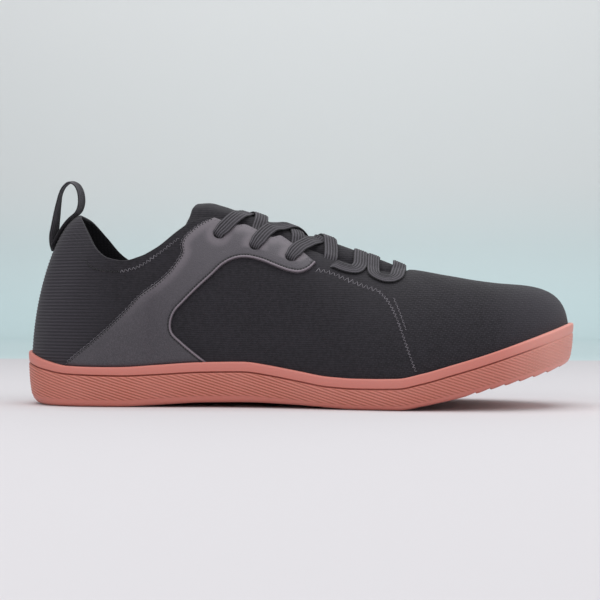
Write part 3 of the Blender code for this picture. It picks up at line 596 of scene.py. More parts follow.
def sole_side(side, shares):
    """Points of one side of the sole's sections, from the underside's edge round to the cup's floor."""
    foot, inward = OUTLINE.at(side, shares)
    ground = foot + inward * WALL_CURVE[0][2] * SIDE_HEIGHT
    bottom = underside_height(ground[:, 0], ground[:, 1])
    rim = rim_height(side, foot[:, 0])
    groove = rim - band_height(foot[:, 0])
    ends = 1 - smooth_step(0.03, 0.12, shares) + smooth_step(0.90, 0.97, shares)
    low = np.linspace(0.0, SOLE_RIBS_FROM, WALL_LOW_ROWS, endpoint=False)
    ribbed = np.linspace(SOLE_RIBS_FROM, 1.0, WALL_RIB_ROWS, endpoint=False)
    columns, relief = [], []

    def column(height, inset, value):
        point = foot + inward * np.broadcast_to(inset, shares.shape)[:, None]
        columns.append(np.column_stack([point, bottom + height]))
        relief.append(np.broadcast_to(value, shares.shape))

    for u in np.concatenate([low, ribbed]):
        up, along_side, at_ends = table_at(WALL_CURVE, u)
        inset = along_side + (at_ends - along_side) * ends
        height = (groove - GROOVE_HALF) * up
        phase = (bottom + height + foot[:, 0] * SOLE_RIB_SLOPE) / SOLE_RIB_PITCH * 2 * math.pi
        fade = smooth_step(SOLE_RIBS_FROM, SOLE_RIBS_FROM + 0.06, u) * (1 - smooth_step(0.985, 1.0, u))
        toe = smooth_step(*TOE_DOTS, foot[:, 0])
        lean = bottom + height - foot[:, 0] * TOE_DOTS_LEAN
        dots = 0.5 + 0.5 * np.cos(lean / SOLE_RIB_PITCH * 2 * math.pi)
        wave = 0.5 + 0.5 * np.cos(phase)
        wave = wave * (1 - toe) + wave * dots * toe
        column(height, inset * SIDE_HEIGHT - SOLE_RIB_RELIEF * fade * wave, fade * wave + (1 - fade) * 0.75)
    faint = 1 - 0.65 * smooth_step(*FAINT_GROOVE, foot[:, 0])
    for step, depth in GROOVE_PROFILE:
        column(groove + step * GROOVE_HALF, depth * GROOVE_DEPTH * faint, 0.75 - 1.75 * depth * faint)
    band_foot = groove + GROOVE_HALF
    for share in np.linspace(0.08, 1.0, BAND_ROWS):
        inset = table_at(BAND_CURVE, share)[0] / 1000
        column(band_foot + (rim - groove - GROOVE_HALF) * math.sin(share * math.pi / 2) ** 0.9, inset, 0.85)
    column(rim + 0.00002, (UPPER_INSET - CLEARANCE) * 0.75, 0.8)
    curves = rise_curves(side, shares)
    floor = curves[:, 0, 2] - CLEARANCE
    inner_top = bottom + rim - RIM_TOP_WIDTH * 0.15
    for k in (1.0, 0.5, 0.0):
        z = floor + (inner_top - floor) * k
        t = height_share(curves, np.maximum(z, curves[:, 0, 2])[:, None])
        at = bezier(curves, t)[:, 0, :2] - inward * CLEARANCE
        columns.append(np.column_stack([at, z]))
        relief.append(np.full(shares.shape, 0.5))
    return np.stack(columns, axis=1), np.stack(relief, axis=1)


# Shares of the sole's length without lugs, under the arch and past the toe; their distance from the edge
LUG_FREE_ARCH = (0.27, 0.53)
LUGS_TO = 0.955
LUG_MARGIN = 0.002


def lug_cutter():
    """What leaves the lugs standing: grooves that stop short of the edge, saw-tooth steps at the toe."""
    bm = bmesh.new()
    below = -0.002
    for k in range(1, int(SOLE_LENGTH / LUG_PITCH)):
        x = along(0.0) + k * LUG_PITCH
        share = share_of(x)
        if LUG_FREE_ARCH[0] < share < LUG_FREE_ARCH[1] or share > LUGS_TO:
            continue
        z = float(underside_height(x, 0.0))
        ahead = float(underside_height(x + LUG_GROOVE_WIDTH, 0.0)) - z
        turn = Matrix.Rotation(-math.atan2(ahead, LUG_GROOVE_WIDTH), 4, "Y")
        if share > TOE_STEPS_FROM:
            middle, half, length = 0.0, BALL_WIDTH * 0.6, LUG_PITCH * 0.94
            corners = ((0.0, below), (length, below), (length, TOE_STEP_DEPTH), (0.0, -0.0001))
        else:
            inner, outer = OUTLINE.halves_at(x)
            middle, reach = (outer - inner) / 2, LUG_GROOVE_WIDTH / 2
            half = min(inner, outer) - WALL_CURVE[0][2] * SIDE_HEIGHT - LUG_MARGIN
            depth = LUG_GROOVE_DEPTH
            corners = ((-reach, below), (reach, below), (reach, depth), (-reach, depth))
        ends = []
        for y in (middle - half, middle + half):
            places = [Vector((x, y, z)) + turn @ Vector((a, 0.0, h)) for a, h in corners]
            ends.append([bm.verts.new(place) for place in places])
        for a in range(4):
            b = (a + 1) % 4
            bm.faces.new((ends[0][a], ends[0][b], ends[1][b], ends[1][a]))
        bm.faces.new(ends[0])
        bm.faces.new(ends[1])
    bmesh.ops.recalc_face_normals(bm, faces=bm.faces)
    return keep("lug_cutter", bm, [])


def outsole(rubber):
    """Cup sole in one moulding, with its ribbed wall, groove, rolled band and lugs."""
    shares = np.linspace(0.0, 1.0, 401)
    (inner, inner_relief), (outer, outer_relief) = sole_side(-1, shares), sole_side(1, shares)
    steps = np.linspace(0, 1, 8)[1:-1]

    def between(a, b):
        return a[:, None] + (b - a)[:, None] * steps[None, :, None]

    floor = between(inner[:, -1], outer[:, -1])
    under = between(outer[:, 0], inner[:, 0])
    under[..., 2] = underside_height(under[..., 0], under[..., 1])
    grid = np.concatenate([inner, floor, outer[:, ::-1], under], axis=1)
    flat = np.full(floor.shape[:2], 0.5)
    relief = np.concatenate([inner_relief, flat, outer_relief[:, ::-1], flat], axis=1)
    ribs = WALL_LOW_ROWS + WALL_RIB_ROWS
    last = inner.shape[1] * 2 + len(steps)

    def diagonal(_, j):
        if j < ribs:
            return 1
        return -1 if last - ribs <= j < last - 1 else 0

    obj = keep("gum_cupsole", grid_bmesh(grid, None, (False, True), None, None, diagonal, relief), [rubber])
    cutter = lug_cutter()
    cut = obj.modifiers.new("lugs", "BOOLEAN")
    cut.operation = "DIFFERENCE"
    cut.solver = "EXACT"
    cut.object = cutter
    mesh = bpy.data.meshes.new_from_object(obj.evaluated_get(bpy.context.evaluated_depsgraph_get()))
    obj.modifiers.clear()
    obj.data = mesh
    mesh.name = "gum_cupsole"
    bpy.data.objects.remove(cutter)
    mesh.set_sharp_from_angle(angle=math.radians(55))
    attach(obj, "root")
    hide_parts("outsole")
    return obj


class LastSurface:
    """The whole last with its instep, read by a ray from above or from the side."""

    def __init__(self):
        shares = np.sort(np.append(np.linspace(0.0, 1.0, 150), [THROAT_END, INSTEP_START]))
        halves = []
        for side in (-1, 1):
            curves = rise_curves(side, shares)
            line = bezier(curves, np.linspace(0, 1, 44)[None, :] * np.ones((len(shares), 1)))
            halves.append(np.concatenate([line, self.instep(side, shares, curves, 16)], axis=1))
        grid = np.concatenate([halves[0], halves[1][-2:0:-1]])
        rows, columns = grid.shape[:2]
        faces = []
        for i in range(rows):
            a = (i + 1) % rows
            for j in range(columns - 1):
                faces.append((i * columns + j, i * columns + j + 1, a * columns + j + 1, a * columns + j))
        points = [tuple(p) for p in grid.reshape(-1, 3)]
        self.tree = BVHTree.FromPolygons(points, faces)

    def instep(self, side, shares, curves, steps):
        """Points from the throat's edge up to the ridge, where there is an instep."""
        top = curves[:, 3]
        x = top[:, 0]
        ridge = table_at(INSTEP_RIDGE, share_of(x))[:, 0] * INSTEP_HEIGHT
        crown = np.column_stack([x, ridge_side(x), ridge])
        leave = top - curves[:, 2]
        leave /= np.linalg.norm(leave, axis=1, keepdims=True)
        half = np.linalg.norm(crown - top, axis=1, keepdims=True)
        level = np.column_stack([np.zeros_like(x), side * half[:, 0] * 0.40, np.zeros_like(x)])
        control = np.stack([top, top + leave * half * 0.30, crown + level, crown], axis=1)
        lines = bezier(control, np.linspace(0, 1, steps + 1)[None, 1:] * np.ones((len(x), 1)))
        stay = (shares < INSTEP_START) | (np.abs(top[:, 1] - ridge_side(x)) < 1e-6)
        lines[stay] = top[stay][:, None, :]
        return lines

    def from_above(self, x, y):
        """Point that a ray straight down meets."""
        return self.tree.ray_cast(Vector((x, y, 1.0)), Vector((0.0, 0.0, -1.0)))[0]

    def smooth_from_above(self, x, y, reach=0.003):
        """Point from above with a normal averaged over its surroundings."""
        ahead, behind = self.from_above(x + reach, y), self.from_above(x - reach, y)
        left, right = self.from_above(x, y + reach), self.from_above(x, y - reach)
        return self.from_above(x, y), (ahead - behind).cross(left - right).normalized()

    def from_side(self, side, x, z):
        """Point that a level ray meets, sent in from one side."""
        return self.tree.ray_cast(Vector((x, side * 0.3, z)), Vector((0.0, -side, 0.0)))[0]

    def smooth_from_side(self, side, x, z, reach=0.002):
        """Point from the side with a normal averaged over its surroundings."""
        ahead, behind = self.from_side(side, x + reach, z), self.from_side(side, x - reach, z)
        over, under = self.from_side(side, x, z + reach), self.from_side(side, x, z - reach)
        return self.from_side(side, x, z), (over - under).cross(ahead - behind).normalized() * side


LAST = LastSurface()


def throat_half_width(x):
    """Half the opening under the laces."""
    rows = [(r[1], r[2]) for r in THROAT_ROWS[:7]]
    return float(table_at(rows, share_of(x))[0]) * THROAT_WIDTH / 2


def shell(name, grid, normals, edge, thickness, materials, uv=None):
    """Closed pad from a grid of mid points. Its edge is rounded where edge, a distance, is small."""
    reach = thickness / 2
    half = reach * np.sqrt(1 - (1 - np.clip(edge / reach, 0, 1)) ** 2)[..., None]
    top, under = grid + normals * half, grid - normals * half
    rows = np.concatenate([top, under[:, ::-1][:, 1:-1]], axis=1)
    bm = grid_bmesh(rows, uv, (False, True))
    loose = [e for e in bm.edges if e.is_boundary]
    if loose:
        bmesh.ops.holes_fill(bm, edges=loose)
        bmesh.ops.recalc_face_normals(bm, faces=bm.faces)
    return keep(name, bm, materials)


def edge_steps(length, count, near=(0.0, 0.0002, 0.0006, 0.0012)):
    """Places along a length, close together at both ends so that an edge can be rounded."""
    middle = np.linspace(near[-1] * 1.8, length - near[-1] * 1.8, count)
    return np.concatenate([near, middle, length - np.array(near[::-1])])


TONGUE_DROP = UPPER_WALL + LACE_THICKNESS + CLEARANCE
TONGUE_BACK_CURVE = 0.0035

# Top of the tongue's middle under the last, in millimetres, at places along X
TONGUE_TOP = ((-60.0, 1.7), (-38.0, 1.4), (-27.0, 2.2), (8.0, 2.2), (20.0, 1.0), (50.0, 1.0), (58.0, 2.5))


def tongue(knit):
    """Padded knit tongue under the throat, high in its middle and below the upper's wall at its sides."""
    back, front = along(COLLAR_ROWS[-1][1]), along(THROAT_ROWS[6][1]) + TONGUE_VAMP_LAP
    shares = edge_steps(front - back, 90) / (front - back)
    grid, edge = [], []
    for share in shares:
        middle_x = back + (front - back) * share
        half = throat_half_width(middle_x) + TONGUE_UNDERLAP
        row, gaps = [], []
        for w in edge_steps(half * 2, 44):
            aside = (w - half) / half
            x = middle_x - TONGUE_BACK_CURVE * abs(aside) ** 2.2 * (1 - share) ** 3
            reach = abs(w - half) / max(throat_half_width(x), 0.001)
            middle_drop = float(table_at(TONGUE_TOP, x * 1000)[0]) / 1000
            drop = middle_drop + (TONGUE_DROP - middle_drop) * float(smooth_step(0.62, 0.98, reach))
            point, normal = LAST.smooth_from_above(x, ridge_side(x) - half + w, 0.004)
            row.append(list(point - normal * (drop + TONGUE_THICKNESS / 2)))
            gaps.append(min((front - back) * share, (front - back) * (1 - share), w, half * 2 - w))
        grid.append(row)
        edge.append(gaps)
    grid, edge = np.array(grid), np.array(edge)
    normals = grid_normals(grid)
    uv = np.stack([grid[..., 1], grid[..., 0]], axis=-1)
    both = np.concatenate([uv, uv[:, ::-1][:, 1:-1]], axis=1)
    obj = shell("knit_tongue", grid, normals, edge, TONGUE_THICKNESS, [knit], both)
    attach(obj, "root")
    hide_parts("tongue")
    return obj


def insole(lining):
    """Flat footbed on the cup's floor, inside the upper's wall."""
    shares = np.linspace(0.0, 1.0, 121)
    rows = {}
    for side in (-1, 1):
        curves = rise_curves(side, shares)
        _, inward = OUTLINE.at(side, shares)
        t = height_share(curves, (curves[:, 0, 2] + INSOLE_THICKNESS * 0.5)[:, None])
        at = bezier(curves, t)[:, 0, :2] + inward * (UPPER_WALL + 2 * CLEARANCE)
        rows[side] = at
    steps = np.concatenate([[0.0, 0.01, 0.03, 0.06], np.linspace(0.1, 0.9, 12), [0.94, 0.97, 0.99, 1.0]])
    flat = rows[-1][:, None] + (rows[1] - rows[-1])[:, None] * steps[None, :, None]
    lift = FLOOR_THICKNESS + CLEARANCE + INSOLE_THICKNESS / 2
    height = underside_height(flat[..., 0], flat[..., 1]) + lift
    grid = np.concatenate([flat, height[..., None]], axis=-1)
    width = np.linalg.norm(rows[1] - rows[-1], axis=1)[:, None]
    edge = np.minimum(steps, 1 - steps)[None, :] * width
    normals = np.zeros_like(grid)
    normals[..., 2] = 1.0
    obj = shell("lining_insole", grid, normals, edge, INSOLE_THICKNESS, [lining])
    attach(obj, "root")
    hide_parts("insole")
    return obj


# Leather eyestay seen from the side, in millimetres along X and Z: its rear, top and front edges
LEATHER_REAR = (
    (-124.0, 13.0), (-110.3, 24.2), (-97.8, 34.1), (-82.6, 48.1), (-75.5, 55.5), (-66.3, 62.6),
    (-60.8, 67.8), (-57.2, 72.8), (-54.9, 77.0), (-55.4, 81.5), (-54.2, 84.6), (-49.2, 89.6),
    (-43.9, 93.0), (-40.2, 94.8),
)
LEATHER_TOP = (
    (-40.2, 94.8), (-34.5, 92.8), (-28.3, 91.0), (-25.0, 91.3), (-22.0, 90.1), (-16.5, 87.4),
    (-10.9, 84.8), (-7.3, 85.7), (-4.2, 83.9), (3.8, 77.9), (11.6, 71.6),
)
LEATHER_FRONT = (
    (11.6, 71.6), (8.6, 68.4), (4.0, 66.6), (-1.0, 67.2), (-6.3, 69.0), (-15.9, 72.8), (-22.7, 74.3),
    (-28.4, 73.8), (-34.1, 71.0), (-39.7, 65.8), (-47.0, 59.1), (-53.5, 52.5), (-58.1, 47.3),
    (-59.8, 42.0), (-59.1, 37.4), (-54.3, 32.6), (-48.7, 27.9), (-42.9, 23.3), (-31.0, 13.0),
)
LEATHER_TUCK = 0.0015
HOLE_CORNERS = 22


def open_curve(points, spacing):
    """Smooth line through points, evenly divided."""
    p = np.array(points, float)
    p = np.vstack([2 * p[0] - p[1], p, 2 * p[-1] - p[-2]])
    knots = np.sqrt(np.linalg.norm(np.diff(p, axis=0), axis=1))
    fine = []
    for i in range(1, len(p) - 2):
        before, here, after = knots[i - 1], knots[i], knots[i + 1]
        step = (p[i + 1] - p[i]) / here
        start = (p[i] - p[i - 1]) / before - (p[i + 1] - p[i - 1]) / (before + here) + step
        end = step - (p[i + 2] - p[i]) / (here + after) + (p[i + 2] - p[i + 1]) / after
        t = np.linspace(0, 1, 24, endpoint=False)[:, None]
        low = p[i] * (1 + 2 * t) * (1 - t) ** 2 + start * here * t * (1 - t) ** 2
        fine.append(low + p[i + 1] * t * t * (3 - 2 * t) + end * here * t * t * (t - 1))
    fine = np.vstack(fine + [p[-2:-1]])
    places = run_lengths(fine)
    steps = max(2, round(places[-1] / spacing))
    at = np.linspace(0, places[-1], steps + 1)
    return np.column_stack([np.interp(at, places, fine[:, k]) for k in range(fine.shape[1])])


def rim_line(side):
    """Heights of the rim along X, in millimetres."""
    shares = np.linspace(0.0, 1.0, 400)
    foot, _ = OUTLINE.at(side, shares)
    return foot[:, 0] * 1000, rim_top(side, shares) * 1000


def leather_edges(side, spacing=0.9):
    """Rear, top and front edges above the rim, then the bottom edge tucked behind it."""
    xs, zs = rim_line(side)
    tuck = LEATHER_TUCK * 1000

    def above(line):
        return line[line[:, 1] > np.interp(line[:, 0], xs, zs) - tuck]

    lines = (LEATHER_REAR, LEATHER_TOP, LEATHER_FRONT)
    rear, top, front = [above(open_curve(line, spacing)) for line in lines]
    low = np.arange(front[-1, 0] - spacing, rear[0, 0], -spacing)
    bottom = np.column_stack([low, np.interp(low, xs, zs) - tuck])
    return rear, top, front, bottom


def eyelet_place(side, number):
    """Middle of a punched hole, seen from above."""
    share, half = EYELETS[number]
    x = along(share)
    return x, ridge_side(x) + side * half * BALL_WIDTH


def inside_loop(points, loop):
    """Which points lie inside a closed loop."""
    a, b = loop, np.roll(loop, -1, axis=0)
    x, y = points[:, 0][:, None], points[:, 1][:, None]
    crosses = (a[:, 1] > y) != (b[:, 1] > y)
    rise = np.where(b[:, 1] == a[:, 1], 1e-9, b[:, 1] - a[:, 1])
    at = (b[:, 0] - a[:, 0]) * (y - a[:, 1]) / rise + a[:, 0]
    return (np.count_nonzero(crosses & (x < at), axis=1) % 2) == 1


def loop_distance(points, loops):
    """Distance from points to the nearest of the loops."""
    best = np.full(len(points), 1e9)
    for loop in loops:
        a, b = loop, np.roll(loop, -1, axis=0)
        d = b - a
        for start, step in zip(a, d):
            t = np.clip(((points - start) @ step) / max(step @ step, 1e-12), 0, 1)
            best = np.minimum(best, np.linalg.norm(points - start - t[:, None] * step, axis=1))
    return best


def open_distance(points, line):
    """Distance from points to an open line."""
    best = np.full(len(points), 1e9)
    for start, step in zip(line, np.diff(line, axis=0)):
        t = np.clip(((points - start) @ step) / max(step @ step, 1e-12), 0, 1)
        best = np.minimum(best, np.linalg.norm(points - start - t[:, None] * step, axis=1))
    return best


def leather_sheet(side):
    """Triangles of the leather in millimetres along X and Z, its punched holes left out."""
    rear, top, front, bottom = leather_edges(side)
    loop = np.vstack([rear[:-1], top[:-1], front, bottom])
    holes = []
    for number in range(len(EYELETS)):
        x, y = eyelet_place(side, number)
        place, normal = LAST.smooth_from_above(x, y)
        first = normal.cross(Vector((0, 1, 0))).normalized()
        second = normal.cross(first)
        ring = []
        for k in range(HOLE_CORNERS):
            angle = 2 * math.pi * k / HOLE_CORNERS
            p = place + (first * math.cos(angle) + second * math.sin(angle)) * EYELET_DIAMETER / 2
            ring.append((p.x * 1000, p.z * 1000))
        holes.append(np.array(ring))
    loops = [loop] + holes
    extra = []
    for line in loops:
        ahead = np.roll(line, -1, axis=0) - np.roll(line, 1, axis=0)
        ahead /= np.linalg.norm(ahead, axis=1, keepdims=True)
        aside = np.column_stack([-ahead[:, 1], ahead[:, 0]])
        for reach in (0.22, 0.55, 1.0, 1.4, 1.9):
            for sign in (-1, 1):
                extra.append(line + aside * sign * reach)
    low, high = loop.min(axis=0), loop.max(axis=0)
    xs, zs = np.meshgrid(np.arange(low[0], high[0], 1.3), np.arange(low[1], high[1], 1.3))
    field = np.column_stack([xs.ravel(), zs.ravel()])
    inner = np.vstack(extra + [field])
    gap = loop_distance(inner, loops)
    allowed = np.concatenate([np.full(len(inner) - len(field), 0.16), np.full(len(field), 1.5)])
    good = inside_loop(inner, loop) & (gap > allowed)
    for hole in holes:
        good &= ~inside_loop(inner, hole)
    points, edges = [], []
    for line in loops:
        start = len(points)
        points += [Vector(p) for p in line]
        edges += [(start + k, start + (k + 1) % len(line)) for k in range(len(line))]
    points += [Vector(p) for p in inner[good]]
    verts, _, faces, _, _, _ = delaunay_2d_cdt(points, edges, [], 0, 1e-4)
    verts = np.array([tuple(v) for v in verts])
    faces = np.array(faces)
    middle = verts[faces].mean(axis=1)
    good = inside_loop(middle, loop)
    for hole in holes:
        good &= ~inside_loop(middle, hole)
    return verts, faces[good], loops


# Raised bead along the leather's front edge and the sunk row of thread behind it: places from the
# edge in millimetres, the bead's rise in metres
PIPING_MIDDLE = 0.52
PIPING_HALF = 0.52
PIPING_RISE = 0.00055
FRONT_ROW_INSET = 1.55


def leather_thickness(side, points, gap, front):
    """Height of the leather's face: a bead along its front, thin edges, thinned where it tucks in."""
    xs, zs = rim_line(side)
    over = points[:, 1] - np.interp(points[:, 0], xs, zs)
    tuck = 0.12 + 0.88 * smooth_step(-0.3, 1.4, over)
    edge = 0.35 + 0.65 * np.sqrt(1 - (1 - np.clip(gap / 0.8, 0, 1)) ** 2)
    bead = np.sqrt(np.maximum(0.0, 1 - ((front - PIPING_MIDDLE) / PIPING_HALF) ** 2))
    seam = 0.00022 * np.exp(-(((front - FRONT_ROW_INSET) / 0.35) ** 2))
    return (LEATHER_THICKNESS * edge + PIPING_RISE * bead - seam) * tuck


def eyestay(side, leather):
    """Leather eyestay and side strap in one piece, laid on the last."""
    points, faces, loops = leather_sheet(side)
    gap = loop_distance(points, loops)
    front_line = leather_edges(side)[2]
    front = open_distance(points, front_line)
    rise = leather_thickness(side, points, gap, front)
    bm = bmesh.new()
    uv = bm.loops.layers.uv.new("cloth")
    edge_layer = bm.verts.layers.float.new("relief")
    front_layer = bm.verts.layers.float.new("piping")
    used = np.unique(faces)
    tops, bottoms = {}, {}
    for k in used:
        x, z = points[k] / 1000
        place, normal = LAST.smooth_from_side(side, x, z)
        tops[k] = bm.verts.new(place + normal * (CLEARANCE * 0.4 + rise[k]))
        bottoms[k] = bm.verts.new(place + normal * CLEARANCE * 0.1)
        tops[k][edge_layer] = float(min(gap[k], 6.0))
        tops[k][front_layer] = float(min(front[k], 6.0))
    edge_count = {}
    for a, b, c in faces:
        order = (a, b, c) if side < 0 else (a, c, b)
        pairs = ((order, tops), (order[::-1], bottoms))
        for ids, layer in pairs:
            face = bm.faces.new([layer[k] for k in ids])
            for corner, k in zip(face.loops, ids):
                corner[uv].uv = points[k] / 1000
        for pair in ((order[0], order[1]), (order[1], order[2]), (order[2], order[0])):
            edge_count.setdefault(frozenset(pair), []).append(pair)
    for pair in edge_count.values():
        if len(pair) == 1:
            a, b = pair[0]
            bm.faces.new((tops[b], tops[a], bottoms[a], bottoms[b]))
    bmesh.ops.recalc_face_normals(bm, faces=bm.faces)
    name = "leather_eyestay_inner" if side < 0 else "leather_eyestay_outer"
    obj = keep(name, bm, [leather], 60)
    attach(obj, "root")
    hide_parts("eyestay_inner" if side < 0 else "eyestay_outer")
    return obj


LACE_RIDGES = 5
LACE_RIDGE_RELIEF = 0.00026
LACE_STEP = 0.0008

# Where the first two pairs of laces cross, along X
CROSSINGS_AT = (-0.0215, -0.0020)


def lace_profile(width, thickness):
    """Points round a flat lace: ridges that run along both faces, and rounded edges."""
    points = []
    steps = LACE_RIDGES * 4
    flat = width - thickness * 0.8
    for face in (1, -1):
        for k in range(steps + 1):
            share = k / steps
            ridge = 0.5 - 0.5 * math.cos(share * LACE_RIDGES * 2 * math.pi)
            crown = 1 - 0.12 * (2 * share - 1) ** 2
            height = thickness / 2 * crown - LACE_RIDGE_RELIEF * (1 - ridge)
            points.append((face * (share - 0.5) * flat, face * height))
        for angle in (-35, 0, 35):
            a = math.radians(angle)
            reach = thickness * 0.4
            points.append((face * (flat / 2 + reach * math.cos(a)), -face * thickness * 0.40 * math.sin(a)))
    return points


def flat_lace(name, centres, normals, widths, thickness, webbing, closed=False):
    """Woven lace swept along centres, with its faces square to the normals."""
    count = len(centres)
    centres, normals = np.array(centres, float), np.array(normals, float)
    if closed:
        ahead = np.roll(centres, -1, axis=0) - np.roll(centres, 1, axis=0)
    else:
        ahead = np.gradient(centres, axis=0)
    wide = np.cross(ahead, normals)
    wide /= np.linalg.norm(wide, axis=1, keepdims=True)
    up = np.cross(wide, ahead)
    up /= np.linalg.norm(up, axis=1, keepdims=True)
    rows, uvs = [], []
    places = run_lengths(np.vstack([centres, centres[:1]]))
    for i in range(count):
        profile = lace_profile(widths[i], thickness)
        rows.append([centres[i] + wide[i] * a + up[i] * b for a, b in profile])
        uvs.append([(a / widths[i] * LACE_WIDTH, places[i]) for a, _ in profile])
    grid, uv = np.array(rows), np.array(uvs)
    bm = grid_bmesh(grid, uv, (closed, True))
    if not closed:
        bmesh.ops.holes_fill(bm, edges=[e for e in bm.edges if e.is_boundary])
        bmesh.ops.recalc_face_normals(bm, faces=bm.faces)
    obj = keep(name, bm, [webbing])
    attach(obj, "root")
    return obj


def lace_height(x, y, far_side):
    """Height of a lace's underside over the last. It dives under the throat's edge on its far side."""
    half = max(CLEARANCE, min(throat_half_width(x), throat_half_width(x + LACE_WIDTH * 0.6)))
    offset = y - float(ridge_side(x))
    side = abs(offset) / half
    behind = share_of(x) < LADDER_FROM
    over_side = LEATHER_THICKNESS + CLEARANCE if behind else CLEARANCE
    sag = -(LACE_SAG if behind else LACE_SAG * 0.5)
    t = max(0.0, min(1.0, (side - 0.30) / 0.65))
    t = max(t, min(1.0, (0.40 - half / THROAT_WIDTH) / 0.20))
    if offset * far_side > 0:
        return sag - (UPPER_WALL + LACE_THICKNESS + 0.0002 + sag) * float(smooth_step(0.50, 0.88, side))
    return sag + (over_side - sag) * t * t * (3 - 2 * t)


def lay_lace(path, raised, far_side=0):
    """Middle line of a lace laid on the last, and the way its face looks."""
    centres, normals = [], []
    for (x, y), extra in zip(path, raised):
        place, normal = LAST.smooth_from_above(x, y)
        centres.append(place + normal * (lace_height(x, y, far_side) + extra + LACE_THICKNESS / 2))
        normals.append(normal)
    return centres, normals


def from_eyelet(centres, normals, turn=0.0012, depth=0.0030, narrow=0.80):
    """Lead a laid lace up out of its eyelet: straight up, round a turn, then the lace as laid."""
    ahead = (centres[1] - centres[0]).normalized()
    normal = normals[0]
    base = centres[0]
    up, over = [], []
    for d in (depth, depth * 0.6, depth * 0.25):
        up.append(base - ahead * turn - normal * (turn + d))
        over.append(-ahead)
    for k in range(6):
        angle = math.pi / 2 * k / 6
        up.append(base - ahead * turn * math.cos(angle) - normal * turn * (1 - math.sin(angle)))
        over.append((normal * math.sin(angle) - ahead * math.cos(angle)).normalized())
    widths = [LACE_WIDTH * narrow] * len(up)
    run = 0.0
    for k, centre in enumerate(centres):
        run += (centre - centres[k - 1]).length if k else 0.0
        widths.append(LACE_WIDTH * (narrow + (1 - narrow) * float(smooth_step(0.0, 0.0035, run))))
    return up + centres, over + normals, widths


# Plans of the laces in millimetres: place along X, then distance from the ridge, positive on the side
# where the run starts. Each starts at its eyelet and dives under the far edge or goes on to the ladder.
INNER_RUNS = (
    ((-37.1, 24.7), (-34.2, 22.8), (-31.3, 19.6), (-28.9, 15.2), (-26.8, 8.0), (-25.0, 0.0), (-22.5, -9.0),
     (-19.5, -19.0), (-18.6, -23.0)),
    ((-18.8, 25.4), (-16.8, 22.9), (-14.4, 19.2), (-12.0, 14.6), (-8.6, 9.3), (-4.0, 2.6), (0.4, -4.0),
     (4.2, -11.0), (7.0, -18.5), (8.0, -22.0)),
)
OUTER_RUNS = (
    ((-37.1, 24.7), (-33.5, 21.6), (-28.5, 15.4), (-23.2, 7.6), (-18.8, 0.0), (-17.4, -7.5), (-17.8, -14.0),
     (-18.2, -19.0), (-18.4, -23.0)),
    ((-18.8, 25.4), (-15.4, 21.0), (-10.6, 14.0), (-5.2, 6.4), (-0.9, -0.6), (1.6, -7.2), (2.2, -13.4),
     (2.0, -18.5), (1.9, -22.0)),
)
LADDER_RUN = (
    (-0.8, 26.0), (1.0, 23.2), (3.9, 17.9), (7.2, 12.3), (10.8, 6.6), (14.6, 0.2), (17.2, -8.0),
    (18.3, -15.0), (21.0, -20.6), (26.0, -22.0), (30.4, -21.0), (32.7, -17.0), (33.2, -9.0),
    (33.2, 0.0), (33.1, 9.0), (32.6, 16.6), (30.6, 21.0), (26.4, 22.2), (21.6, 21.9), (17.8, 21.2),
)
SHORT_RUN = (
    (-0.8, 26.0), (3.6, 20.4), (8.2, 13.2), (12.8, 5.6), (16.6, -1.6), (18.1, -8.6), (18.3, -15.4),
    (18.5, -21.4),
)
RING_HALF = (
    (40.0, 0.0), (39.6, 8.0), (39.7, 15.6), (40.8, 20.4), (44.6, 22.2), (48.8, 21.4), (51.4, 18.4),
    (52.2, 12.6), (52.5, 6.0), (52.5, 0.0),
)
TUCK_DEPTH = 0.0032


def lace_path(plan, side, spacing):
    """Evenly divided line of a lace's plan, in metres."""
    line = open_curve(plan, spacing * 1000) / 1000
    line[:, 1] = ridge_side(line[:, 0]) + side * line[:, 1]
    return line


def bump_up(distance, reach):
    """1 at a crossing, 0 from its reach on, smooth between."""
    return 1 - smooth_step(0.0, reach, distance)


